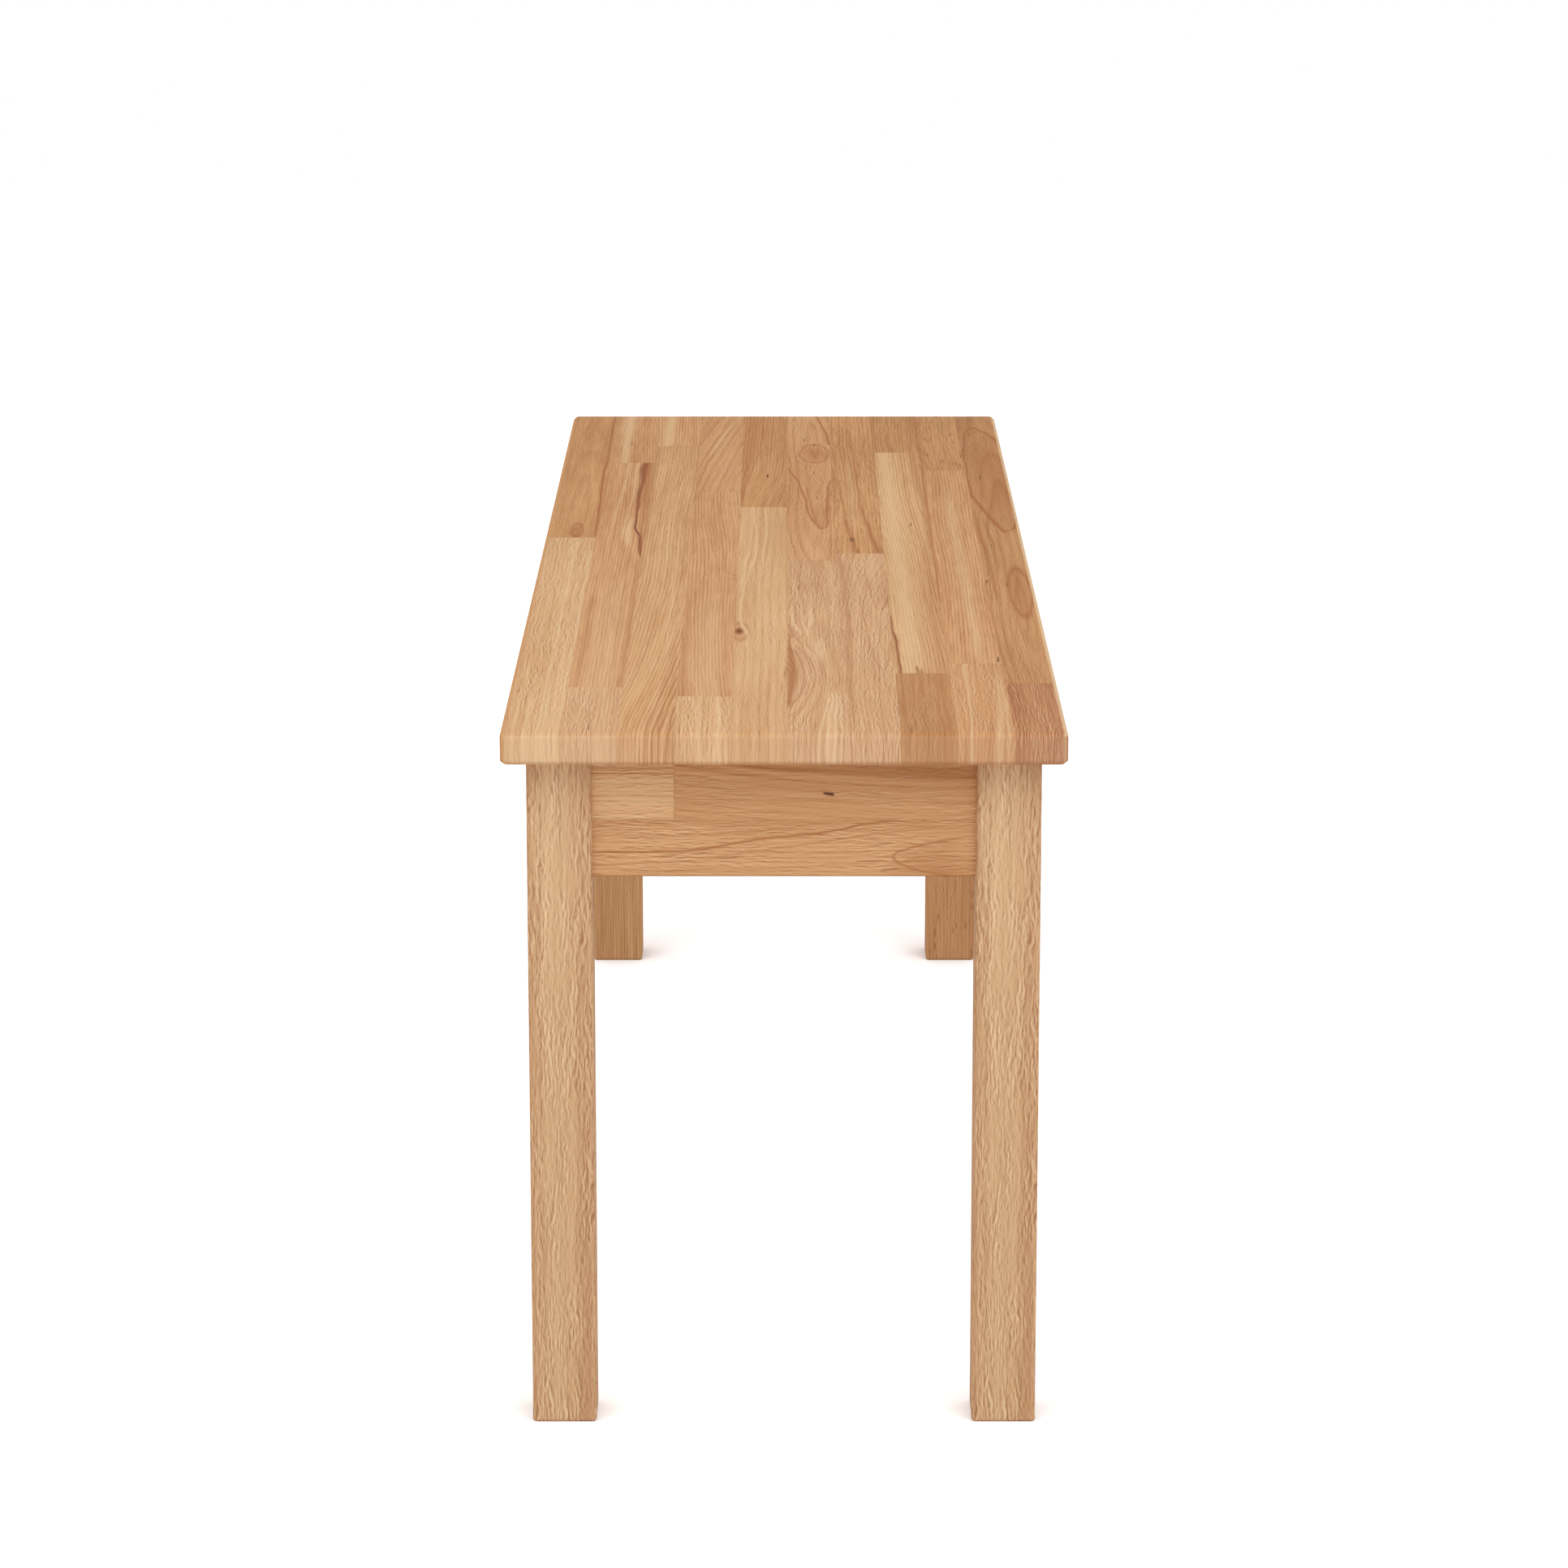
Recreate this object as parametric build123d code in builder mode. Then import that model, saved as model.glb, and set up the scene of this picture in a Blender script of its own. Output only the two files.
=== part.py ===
from build123d import *
import math
import os

os.makedirs("parts", exist_ok=True)

# A plain bench of solid core beech. X is its width, Y its length and Z is up.
# The origin is on the floor under the middle of the seat, and the front end is at -Y.

# Seat panel, glued up from staves that run its whole length.
# It is cut from a wider panel, so its seams lie a little to the right, and its outer staves differ in width.
seat_length = 1200.0
seat_width = 347.0
seat_height = 450.0
seat_edge_chamfer = 2.3
seat_corner_chamfer = 3.2
stave_count = 10
seam_shift = 2.0

# Board that the seat and the rails are cut from, with its finger joints across the thickness
board_thickness = 20.0
finger_length = 10.0
finger_tip = 0.6
finger_count = 5

# Legs, square, set in from the seat's edges
leg_side = 40.0
leg_round = 2.0
foot_chamfer = 1.5
side_overhang = 15.0
end_overhang = 20.0

# Rails, each of two rows of lamellas
rail_height = 76.0
rail_setback = 5.0
rail_lower_row = 36.0
rail_arris = 1.0

# Haunched tenons, mitred where the two meet inside a leg
tenon_thickness = 10.0
tenon_lower_shoulder = 8.0
haunch_height = 12.0
haunch_length = 8.0
haunch_drop = 1.0
mitre_gap = 1.0
glue_gap = 0.1

# Wooden buttons that hold the seat down, with their tongues in a groove along each rail
button_length = 24.0
button_reach = 28.0
button_thickness = 16.0
button_rail_gap = 1.0
button_bevel = 4.0
button_screw_place = 15.0
tongue_length = 8.0
groove_below_seat = 8.0
groove_slack = 0.5
groove_end_gap = 1.0
side_button_spacing = 350.0
side_button_count = 3
end_button_block_gap = 10.0

# Corner blocks, glued and screwed into the angle behind each leg
block_leg = 60.0
block_rise = 16.0
block_grip = 12.0
block_screw_place = 36.0
block_screw_margin = 5.0

# Pan-head wood screws, drawn with flat sides like the holes that they sit in
screw_radius = 2.0
screw_head_radius = 4.0
screw_head_rim = 1.2
screw_head_height = 2.6
screw_crown_radius = 2.8
screw_tip = 4.0
screw_tip_radius = 0.4
screw_gap = 0.1
screw_head_gap = 0.5
screw_sides = 12
seat_bite = 14.0
rail_bite = 13.0

# How far every cut runs past the face that it opens
overrun = 5.0

# Finger joints along each stave, as shares of the seat's length from its front end
stave_joint_shares = (
    (0.543,),
    (0.1125, 0.809),
    (0.875,),
    (0.090, 0.700),
    (0.646,),
    (0.469,),
    (0.491,),
    (0.1475, 0.849),
    (0.1725, 0.780),
    (0.1225,),
)

# Finger joints of the rails' lower and upper rows, as shares of the rail between its legs
front_rail_joint_shares = ((), (0.214,))
rear_rail_joint_shares = ((0.70,), ())
left_rail_joint_shares = ((0.27, 0.66), (0.14, 0.49, 0.83))
right_rail_joint_shares = ((0.18, 0.54, 0.87), (0.36, 0.72))

# Lines that the pieces share, in the corner where X and Y are both positive
stave_width = seat_width / stave_count
stave_seams = [
    seam_shift + seam * stave_width - seat_width / 2 for seam in range(1, stave_count)
]
stave_edges = [-seat_width / 2, *stave_seams, seat_width / 2]
rail_top = seat_height - board_thickness
rail_bottom = rail_top - rail_height
row_seam = rail_bottom + rail_lower_row
leg_outer_x = seat_width / 2 - side_overhang
leg_outer_y = seat_length / 2 - end_overhang
leg_inner_x = leg_outer_x - leg_side
leg_inner_y = leg_outer_y - leg_side
rail_outer_x = leg_outer_x - rail_setback
rail_outer_y = leg_outer_y - rail_setback
rail_inner_x = rail_outer_x - board_thickness
rail_inner_y = rail_outer_y - board_thickness
tenon_cover = rail_setback + (board_thickness - tenon_thickness) / 2
tenon_outer_y = leg_outer_y - tenon_cover
tenon_inner_y = tenon_outer_y - tenon_thickness
tenon_bottom = rail_bottom + tenon_lower_shoulder
tenon_top = rail_top - haunch_height
haunch_top = rail_top - haunch_drop
mitre_step = mitre_gap / math.sqrt(2)
mitre_plane = Plane(origin=(leg_outer_x, leg_outer_y, 0), z_dir=(1, -1, 0))
groove_top = rail_top - groove_below_seat
groove_bottom = rail_top - button_thickness - groove_slack
groove_depth = tongue_length + groove_end_gap
end_button_x = rail_inner_x - block_leg - end_button_block_gap - button_length / 2
block_bottom = rail_bottom + block_rise
block_screw_levels = tuple(
    edge - block_screw_margin - screw_head_radius for edge in (groove_bottom, row_seam)
)


# Places of the buttons and screws
def button_places():
    """Each button's place: where it meets its rail under the seat, turned so that its tongue enters it."""
    places = []
    for index in range(side_button_count):
        along = (index - (side_button_count - 1) / 2) * side_button_spacing
        places.append(Location((-rail_inner_x, along, rail_top), (0, 0, 180)))
        places.append(Location((rail_inner_x, along, rail_top)))
    for across in (-end_button_x, end_button_x):
        places.append(Location((across, -rail_inner_y, rail_top), (0, 0, -90)))
        places.append(Location((across, rail_inner_y, rail_top), (0, 0, 90)))
    return places


def button_screw_places(drop):
    """Places of the buttons' screws, pointing up into the seat, that far below its underside."""
    return [place * Location((-button_screw_place, 0, -drop), (180, 0, 0)) for place in button_places()]


def side_rail_screw_planes(depth, ends):
    """Planes of the screws from the blocks at those ends into the right rail, that far inside its inner face."""
    return [
        Plane(origin=(rail_inner_x - depth, end * (rail_inner_y - block_screw_place), level), z_dir=(-1, 0, 0))
        for end in ends
        for level in block_screw_levels
    ]


def end_rail_screw_planes(depth, sides):
    """Planes of the screws from the blocks on those sides into the rear rail, that far inside its inner face."""
    return [
        Plane(origin=(side * (rail_inner_x - block_screw_place), rail_inner_y - depth, level), z_dir=(0, -1, 0))
        for side in sides
        for level in block_screw_levels
    ]


# Screws and their holes
def flat_sided(*sections):
    """A form along Z with flat sides, through sections that each give a height and a radius."""
    with BuildPart() as form:
        for height, radius in sections:
            with BuildSketch(Plane.XY.offset(height)):
                RegularPolygon(radius, screw_sides)
        loft(ruled=True)
    return form.part


def screw(length):
    """A screw whose head sits on the origin, and whose point is that far along -Z."""
    head = flat_sided(
        (0, screw_head_radius),
        (screw_head_rim, screw_head_radius),
        (screw_head_height, screw_crown_radius),
    )
    shank = flat_sided(
        (0, screw_radius),
        (screw_tip - length, screw_radius),
        (-length, screw_tip_radius),
    )
    with BuildPart() as body:
        add(head)
        add(shank)
    return body.part


def bore(radius, depth, opening):
    """A straight hole of that depth below the origin, open that far above it."""
    with BuildPart() as cut:
        with BuildSketch(Plane.XY.offset(-depth)):
            RegularPolygon(radius, screw_sides)
        extrude(amount=depth + opening)
    return cut.part


seat_pilot = bore(screw_radius + screw_gap, seat_bite + screw_gap, 0)
rail_pilot = bore(screw_radius + screw_gap, rail_bite + screw_gap, 0)
button_hole = bore(screw_radius + screw_gap, button_thickness + overrun, overrun)
block_hole = bore(screw_radius + screw_gap, block_grip + overrun, overrun)
block_counterbore = bore(screw_head_radius + screw_head_gap, 0, block_leg)
button_screw = screw(button_thickness + seat_bite)
block_screw = screw(block_grip + rail_bite)


# Finger joint, the same in every board
def finger_line(place):
    """Points of one finger joint at a place along a board, from one face of the board to the other."""
    pitch = board_thickness / finger_count
    points = [(place, 0)]
    for finger in range(finger_count):
        root = finger * pitch
        points += [
            (place, root + finger_tip / 2),
            (place + finger_length, root + (pitch - finger_tip) / 2),
            (place + finger_length, root + (pitch + finger_tip) / 2),
            (place, root + pitch - finger_tip / 2),
        ]
    points.append((place, board_thickness))
    return points


def cut_lamellas(board, plane, low, high, joints, row_width):
    """Cuts one row of a board into lamellas, from low to high along the plane's X, at its finger joints."""
    lines = [[(low, 0), (low, board_thickness)]]
    lines += [finger_line(joint) for joint in joints]
    lines += [[(high, 0), (high, board_thickness)]]
    lamellas = []
    for near, far in zip(lines, lines[1:]):
        with BuildPart() as lamella:
            with BuildSketch(plane):
                with BuildLine():
                    Polyline(*near, *reversed(far), close=True)
                make_face()
            extrude(amount=row_width)
            add(board, mode=Mode.INTERSECT)
        lamella.part.label = f"lamella_{len(lamellas) + 1}"
        lamellas.append(lamella.part)
    return lamellas


def write_group(name, pieces):
    """Writes pieces that touch but stay separate solids as one node."""
    group = Compound(label=name, children=pieces)
    export_step(group, f"parts/{name}.step")


# Seat, cut whole with its edges and screw holes, and then parted into staves
with BuildPart() as seat_board:
    with BuildSketch(Plane.XY.offset(rail_top)):
        Rectangle(seat_width, seat_length)
    extrude(amount=board_thickness)
    chamfer(seat_board.edges().filter_by(Axis.Z), seat_corner_chamfer)
    chamfer(seat_board.faces().filter_by(Axis.Z).edges(), seat_edge_chamfer)
    with Locations(button_screw_places(0)):
        add(seat_pilot, mode=Mode.SUBTRACT)

staves = zip(stave_edges, stave_edges[1:], stave_joint_shares)
for index, (left, right, shares) in enumerate(staves):
    stave_plane = Plane(origin=(left, 0, rail_top), x_dir=(0, 1, 0), z_dir=(1, 0, 0))
    joints = [(share - 1 / 2) * seat_length for share in shares]
    pieces = cut_lamellas(
        seat_board.part, stave_plane, -seat_length / 2, seat_length / 2, joints, right - left
    )
    write_group(f"seat_stave_{index + 1:02d}", pieces)

# Tenon of the rear end rail, in the right leg, with its sloped haunch
with BuildPart() as tenon:
    with BuildSketch(Plane.XY.offset(tenon_bottom)):
        with BuildLine():
            Polyline(
                (leg_inner_x, tenon_inner_y),
                (leg_outer_x - tenon_cover - tenon_thickness - mitre_step, tenon_inner_y),
                (leg_outer_x - tenon_cover - mitre_step, tenon_outer_y),
                (leg_inner_x, tenon_outer_y),
                close=True,
            )
        make_face()
    extrude(amount=tenon_top - tenon_bottom)
    with BuildSketch(Plane.XZ.offset(-tenon_outer_y)):
        with BuildLine():
            Polyline(
                (leg_inner_x, tenon_top),
                (leg_inner_x + haunch_length, tenon_top),
                (leg_inner_x, haunch_top),
                close=True,
            )
        make_face()
    extrude(amount=tenon_thickness)

# Mortise for that tenon, with a glue gap all round
with BuildPart() as mortise:
    with BuildSketch(Plane.XY.offset(tenon_bottom - glue_gap)):
        with BuildLine():
            Polyline(
                (leg_inner_x - overrun, tenon_inner_y - glue_gap),
                (leg_outer_x - tenon_cover + glue_gap, tenon_inner_y - glue_gap),
                (leg_outer_x - tenon_cover + glue_gap, tenon_outer_y + glue_gap),
                (leg_inner_x - overrun, tenon_outer_y + glue_gap),
                close=True,
            )
        make_face()
    extrude(amount=tenon_top - tenon_bottom + 2 * glue_gap)
    with BuildSketch(Plane.XZ.offset(-tenon_outer_y - glue_gap)):
        with BuildLine():
            Polyline(
                (leg_inner_x - overrun, tenon_top),
                (leg_inner_x + haunch_length + glue_gap, tenon_top),
                (leg_inner_x, haunch_top + glue_gap),
                (leg_inner_x - overrun, haunch_top + glue_gap),
                close=True,
            )
        make_face()
    extrude(amount=tenon_thickness + 2 * glue_gap)

side_tenon = mirror(tenon.part, about=mitre_plane)
side_mortise = mirror(mortise.part, about=mitre_plane)

# Leg in the rear right corner, with its two mortises meeting inside
with BuildPart() as leg:
    with BuildSketch():
        with Locations((leg_outer_x - leg_side / 2, leg_outer_y - leg_side / 2)):
            Rectangle(leg_side, leg_side)
    extrude(amount=rail_top)
    fillet(leg.edges().filter_by(Axis.Z), leg_round)
    chamfer(leg.faces().sort_by(Axis.Z)[0].edges(), foot_chamfer)
    add(mortise.part, mode=Mode.SUBTRACT)
    add(side_mortise, mode=Mode.SUBTRACT)

# Corner block in the same corner, notched round the leg, with its screws sunk into the slanted face
with BuildPart() as block:
    with BuildSketch(Plane.XY.offset(block_bottom)):
        with BuildLine():
            Polyline(
                (leg_inner_x, rail_inner_y),
                (rail_inner_x - block_leg, rail_inner_y),
                (rail_inner_x, rail_inner_y - block_leg),
                (rail_inner_x, leg_inner_y),
                (leg_inner_x, leg_inner_y),
                close=True,
            )
        make_face()
    extrude(amount=rail_top - block_bottom)
    with Locations(side_rail_screw_planes(block_grip, (1,)), end_rail_screw_planes(block_grip, (1,))):
        add(block_hole, mode=Mode.SUBTRACT)
        add(block_counterbore, mode=Mode.SUBTRACT)

corners = {
    "front_left": (-1, -1),
    "front_right": (1, -1),
    "rear_left": (-1, 1),
    "rear_right": (1, 1),
}
for corner, (side, end) in corners.items():
    for name, master in (("leg", leg), ("corner_block", block)):
        with BuildPart() as piece:
            add(master.part)
            if side < 0:
                mirror(about=Plane.YZ, mode=Mode.REPLACE)
            if end < 0:
                mirror(about=Plane.XZ, mode=Mode.REPLACE)
        piece.part.label = f"{name}_{corner}"
        export_step(piece.part, f"parts/{piece.part.label}.step")

# Rear end rail, whole
with BuildPart() as end_rail:
    with BuildSketch(Plane.XY.offset(rail_bottom)):
        with Locations((0, rail_outer_y - board_thickness / 2)):
            Rectangle(2 * leg_inner_x, board_thickness)
    extrude(amount=rail_height)
    chamfer(end_rail.faces().sort_by(Axis.Z)[0].edges().filter_by(Axis.X), rail_arris)
    with BuildSketch(Plane.XY.offset(groove_bottom)):
        with Locations((0, rail_inner_y + groove_depth / 2)):
            Rectangle(2 * leg_inner_x, groove_depth)
    extrude(amount=groove_top - groove_bottom, mode=Mode.SUBTRACT)
    with Locations(end_rail_screw_planes(0, (-1, 1))):
        add(rail_pilot, mode=Mode.SUBTRACT)
    add(tenon.part)
    add(mirror(tenon.part, about=Plane.YZ, mode=Mode.PRIVATE))

# Right side rail, whole
with BuildPart() as side_rail:
    with BuildSketch(Plane.XY.offset(rail_bottom)):
        with Locations((rail_outer_x - board_thickness / 2, 0)):
            Rectangle(board_thickness, 2 * leg_inner_y)
    extrude(amount=rail_height)
    chamfer(side_rail.faces().sort_by(Axis.Z)[0].edges().filter_by(Axis.Y), rail_arris)
    with BuildSketch(Plane.XY.offset(groove_bottom)):
        with Locations((rail_inner_x + groove_depth / 2, 0)):
            Rectangle(groove_depth, 2 * leg_inner_y)
    extrude(amount=groove_top - groove_bottom, mode=Mode.SUBTRACT)
    with Locations(side_rail_screw_planes(0, (-1, 1))):
        add(rail_pilot, mode=Mode.SUBTRACT)
    add(side_tenon)
    add(mirror(side_tenon, about=Plane.XZ, mode=Mode.PRIVATE))

# Rails parted into their two rows of lamellas
front_rail = mirror(end_rail.part, about=Plane.XZ)
left_rail = mirror(side_rail.part, about=Plane.YZ)
along_x = (1, 0, 0)
along_y = (0, 1, 0)
rails = (
    ("end_rail_front", front_rail, (0, -rail_outer_y), along_x, leg_outer_x, leg_inner_x, front_rail_joint_shares),
    ("end_rail_rear", end_rail.part, (0, rail_inner_y), along_x, leg_outer_x, leg_inner_x, rear_rail_joint_shares),
    ("side_rail_left", left_rail, (-rail_inner_x, 0), along_y, leg_outer_y, leg_inner_y, left_rail_joint_shares),
    ("side_rail_right", side_rail.part, (rail_outer_x, 0), along_y, leg_outer_y, leg_inner_y, right_rail_joint_shares),
)
row_heights = (rail_lower_row, rail_height - rail_lower_row)
row_bottoms = (rail_bottom, rail_bottom + rail_lower_row)
for name, board, (x, y), direction, reach, half_body, row_shares in rails:
    pieces = []
    for bottom, height, shares in zip(row_bottoms, row_heights, row_shares):
        row_plane = Plane(origin=(x, y, bottom), x_dir=direction, z_dir=(0, 0, 1))
        joints = [(2 * share - 1) * half_body for share in shares]
        pieces += cut_lamellas(board, row_plane, -reach, reach, joints, height)
    write_group(name, pieces)

# Button, made where its rail's inner face is at X = 0 and the seat's underside at Z = 0
with BuildPart() as button:
    with BuildSketch(Plane.XZ.offset(-button_length / 2)):
        with BuildLine():
            Polyline(
                (-button_rail_gap - button_reach, 0),
                (-button_rail_gap, 0),
                (-button_rail_gap, -groove_below_seat),
                (tongue_length, -groove_below_seat),
                (tongue_length, -button_thickness),
                (button_bevel - button_rail_gap - button_reach, -button_thickness),
                (-button_rail_gap - button_reach, button_bevel - button_thickness),
                close=True,
            )
        make_face()
    extrude(amount=button_length)
    with Locations(Location((-button_screw_place, 0, -button_thickness), (180, 0, 0))):
        add(button_hole, mode=Mode.SUBTRACT)

for index, place in enumerate(button_places()):
    with BuildPart() as seat_button:
        with Locations(place):
            add(button.part)
    seat_button.part.label = f"seat_button_{index + 1:02d}"
    export_step(seat_button.part, f"parts/{seat_button.part.label}.step")


# Screws, in the buttons and in the corner blocks
with BuildPart() as button_screws:
    with Locations(button_screw_places(button_thickness)):
        add(button_screw)
button_screws.part.label = "button_screws"
export_step(button_screws.part, "parts/button_screws.step")

with BuildPart() as block_screws:
    with Locations(side_rail_screw_planes(block_grip, (1,)), end_rail_screw_planes(block_grip, (1,))):
        add(block_screw)
    mirror(about=Plane.YZ)
    mirror(about=Plane.XZ)
block_screws.part.label = "block_screws"
export_step(block_screws.part, "parts/block_screws.step")
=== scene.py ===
import logging
import math
from collections.abc import Callable, Iterator
from dataclasses import dataclass
from enum import Enum
from functools import partial

import bmesh
import bpy
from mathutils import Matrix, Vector


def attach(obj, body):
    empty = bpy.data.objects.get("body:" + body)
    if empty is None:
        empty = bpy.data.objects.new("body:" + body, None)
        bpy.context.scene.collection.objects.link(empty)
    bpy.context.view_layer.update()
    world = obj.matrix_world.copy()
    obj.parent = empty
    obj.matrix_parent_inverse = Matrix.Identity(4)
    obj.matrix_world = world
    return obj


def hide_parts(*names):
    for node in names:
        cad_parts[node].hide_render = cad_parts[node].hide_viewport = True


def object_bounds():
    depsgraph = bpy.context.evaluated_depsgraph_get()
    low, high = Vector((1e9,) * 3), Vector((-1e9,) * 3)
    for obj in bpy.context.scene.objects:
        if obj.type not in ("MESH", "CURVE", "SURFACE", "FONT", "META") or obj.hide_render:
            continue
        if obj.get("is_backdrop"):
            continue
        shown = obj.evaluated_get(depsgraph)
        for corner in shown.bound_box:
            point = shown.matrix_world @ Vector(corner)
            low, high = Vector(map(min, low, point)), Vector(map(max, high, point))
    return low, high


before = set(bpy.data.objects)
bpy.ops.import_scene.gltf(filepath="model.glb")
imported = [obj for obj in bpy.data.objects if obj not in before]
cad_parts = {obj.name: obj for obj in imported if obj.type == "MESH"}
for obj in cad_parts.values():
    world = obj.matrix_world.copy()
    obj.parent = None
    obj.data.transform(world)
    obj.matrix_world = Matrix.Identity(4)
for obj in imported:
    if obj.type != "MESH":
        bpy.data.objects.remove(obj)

log = logging.getLogger("bench")

MM = 0.001
BODY = "root"
PLACE_NAME = "board_place"
WHITE = (1.0, 1.0, 1.0, 1.0)

# The nodes that are used again and again, as Blender names them, some with their operation
RANGE, NOISE, MIX, GROUP = "ShaderNodeMapRange", "ShaderNodeTexNoise", "ShaderNodeMix", "ShaderNodeGroup"
JOINED, PARTED = "ShaderNodeCombineXYZ", "ShaderNodeSeparateXYZ"
MERGED, SHIFTED, CONE = "GeometryNodeMeshBoolean", "GeometryNodeTransform", "GeometryNodeMeshCone"
PLUS, MINUS, TIMES, OVER, TIMES_PLUS, MOST, POWER, EXPONENT, UNSIGNED = (
    f"ShaderNodeMath {operation}" for operation in
    ("ADD", "SUBTRACT", "MULTIPLY", "DIVIDE", "MULTIPLY_ADD", "MAXIMUM", "POWER", "EXPONENT", "ABSOLUTE")
)
ALL_PLUS, ALL_MINUS, ALL_TIMES, ALL_OVER, ALL_LEAST, SCALED, LENGTH, DOT = (
    f"ShaderNodeVectorMath {operation}" for operation in
    ("ADD", "SUBTRACT", "MULTIPLY", "DIVIDE", "MINIMUM", "SCALE", "LENGTH", "DOT_PRODUCT")
)

Triple = tuple[float, float, float]
Pair = tuple[float, float]
Feed = bpy.types.Node | bpy.types.NodeSocket | float | tuple | list
Put = Callable[..., bpy.types.Node]
Layer = tuple[Feed, str]


def linear(colour: str) -> tuple[float, float, float, float]:
    """Turns an sRGB hex colour to the linear colour that a shader takes.

    Args:
        colour: Six hex digits after a hash sign.

    Returns:
        Red, green, blue and a full alpha, each from 0 to 1.
    """
    parts = [int(colour[place : place + 2], 16) / 255 for place in (1, 3, 5)]
    red, green, blue = (c / 12.92 if c <= 0.04045 else ((c + 0.055) / 1.055) ** 2.4 for c in parts)
    return red, green, blue, 1.0


def add(
    tree: bpy.types.NodeTree, kind: str, feeds: tuple | dict[int | str, Feed] = (), **settings: object
) -> bpy.types.Node:
    """Adds a node to a tree, with its settings and what feeds its sockets.

    Args:
        tree: The tree that gets the node.
        kind: The node's type, as Blender names it, and after a space the operation that it does, if any.
        feeds: What the inputs take, in their order or by name or number: a value, a socket, a node whose first
            output is taken, or a list of these for an input that takes several.
        settings: Values of the node's own properties.

    Returns:
        The node.
    """
    form, _, operation = kind.partition(" ")
    node = tree.nodes.new(form)
    if operation:
        node.operation = operation
    for name, value in settings.items():
        setattr(node, name, value)
    for key, feed in feeds.items() if isinstance(feeds, dict) else enumerate(feeds):
        for part in feed if isinstance(feed, list) else [feed]:
            if isinstance(part, bpy.types.Node):
                part = next(output for output in part.outputs if output.enabled)
            if isinstance(part, bpy.types.NodeSocket):
                tree.links.new(part, node.inputs[key])
            else:
                node.inputs[key].default_value = part
    return node


def new_group(
    name: str, kind: str, inputs: dict[str, dict[str, object]], outputs: dict[str, tuple[str, ...]]
) -> tuple[bpy.types.NodeTree, Put, bpy.types.bpy_prop_collection]:
    """Makes a node group with its sockets.

    Args:
        name: The group's name.
        kind: Shader or Geometry.
        inputs: For each kind of socket, the inputs' names with their default values, or None for Blender's own.
        outputs: For each kind of socket, the outputs' names.

    Returns:
        The tree, the function that adds a node to it, and its input sockets by name.
    """
    tree = bpy.data.node_groups.new(name, f"{kind}NodeTree")
    for form, values in inputs.items():
        for label, value in values.items():
            socket = tree.interface.new_socket(label, in_out="INPUT", socket_type=f"NodeSocket{form}")
            if value is not None:
                socket.default_value = value
    for form, labels in outputs.items():
        for label in labels:
            tree.interface.new_socket(label, in_out="OUTPUT", socket_type=f"NodeSocket{form}")
    return tree, partial(add, tree), tree.nodes.new("NodeGroupInput").outputs


def emptied(owner: bpy.types.Material | bpy.types.World) -> Put:
    """Empties the node tree of a material or world.

    Args:
        owner: The material or world.

    Returns:
        The function that adds a node to its tree.
    """
    owner.use_nodes = True
    owner.node_tree.nodes.clear()
    return partial(add, owner.node_tree)


def shown(name: str, data: bpy.types.ID) -> bpy.types.Object:
    """Puts a new object in the scene.

    Args:
        name: Its name.
        data: Its mesh, light or camera.

    Returns:
        The object.
    """
    thing = bpy.data.objects.new(name, data)
    bpy.context.scene.collection.objects.link(thing)
    return thing


class Tone(Enum):
    """Shades of oiled beech, each as its pale and its deep colour."""

    # Paler than BLOND, to lift the front rail's upper lamella out of the shade under the seat: painted light
    CREAM = ("#ECBF90", "#D6A473")
    BLOND = ("#E2B78A", "#CD9D6E")
    ROSE = ("#DDB187", "#C5946A")
    SAND = ("#DEB68D", "#C2966E")
    WHEAT = ("#DDAF7F", "#C79463")
    HONEY = ("#D9A677", "#C28B5C")
    CARAMEL = ("#D39F6C", "#B98252")
    AMBER = ("#CB9766", "#AF7A4D")
    RUSSET = ("#C28B61", "#A06646")


class Shade(Enum):
    """Colours of single features in the wood, and of the painted shade and painted highlights laid on it."""

    CREAM = "#EBCBA0"
    RED = "#A5663C"
    HEART = "#8F4F2E"
    INK = "#4B2C20"
    ARRIS = "#D39C68"
    GLINT = "#F2D6AE"
    VESSEL = "#8E5636"
    GLUE = "#8A5A3C"
    END = "#EFCDB6"
    END_FOOT = "#B5774E"


CREAM, RED, HEART, INK = Shade.CREAM, Shade.RED, Shade.HEART, Shade.INK


@dataclass(frozen=True)
class Figure:
    """How strongly each feature of the grain shows.

    The year rings' spacing is in mm, the vessels' size is a factor, and the rest are shares, 1 being full.
    """

    spacing: float
    rings: float
    stripes: float
    waves: float
    flecks: float
    vessels: float = 1.0


class Cut(Enum):
    """How a lamella's face lies to the year rings, and the figure that this gives it."""

    PLAIN = Figure(spacing=5.5, rings=0.35, stripes=0.45, waves=0.30, flecks=0.05)
    RIFT = Figure(spacing=2.4, rings=1.0, stripes=0.65, waves=0.14, flecks=0.08)
    FLAT = Figure(spacing=5.5, rings=0.6, stripes=0.45, waves=0.40, flecks=0.15)
    WAVY = Figure(spacing=2.8, rings=0.5, stripes=0.55, waves=0.65, flecks=0.12)
    STREAKED = Figure(spacing=3.0, rings=0.85, stripes=0.7, waves=0.3, flecks=0.6)
    FLECKED = Figure(spacing=3.0, rings=0.6, stripes=0.55, waves=0.3, flecks=1.3)
    SAWN_LEG = Figure(spacing=6.0, rings=0.35, stripes=0.5, waves=1.2, flecks=0.15, vessels=1.35)


@dataclass(frozen=True)
class Streak:
    """A line of another shade that runs roughly along the grain.

    Its points are (across, along, half width) in mm, in rising order along the grain.
    """

    shade: Shade
    strength: float
    points: tuple[Triple, ...]
    feather: float = 3.0


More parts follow.
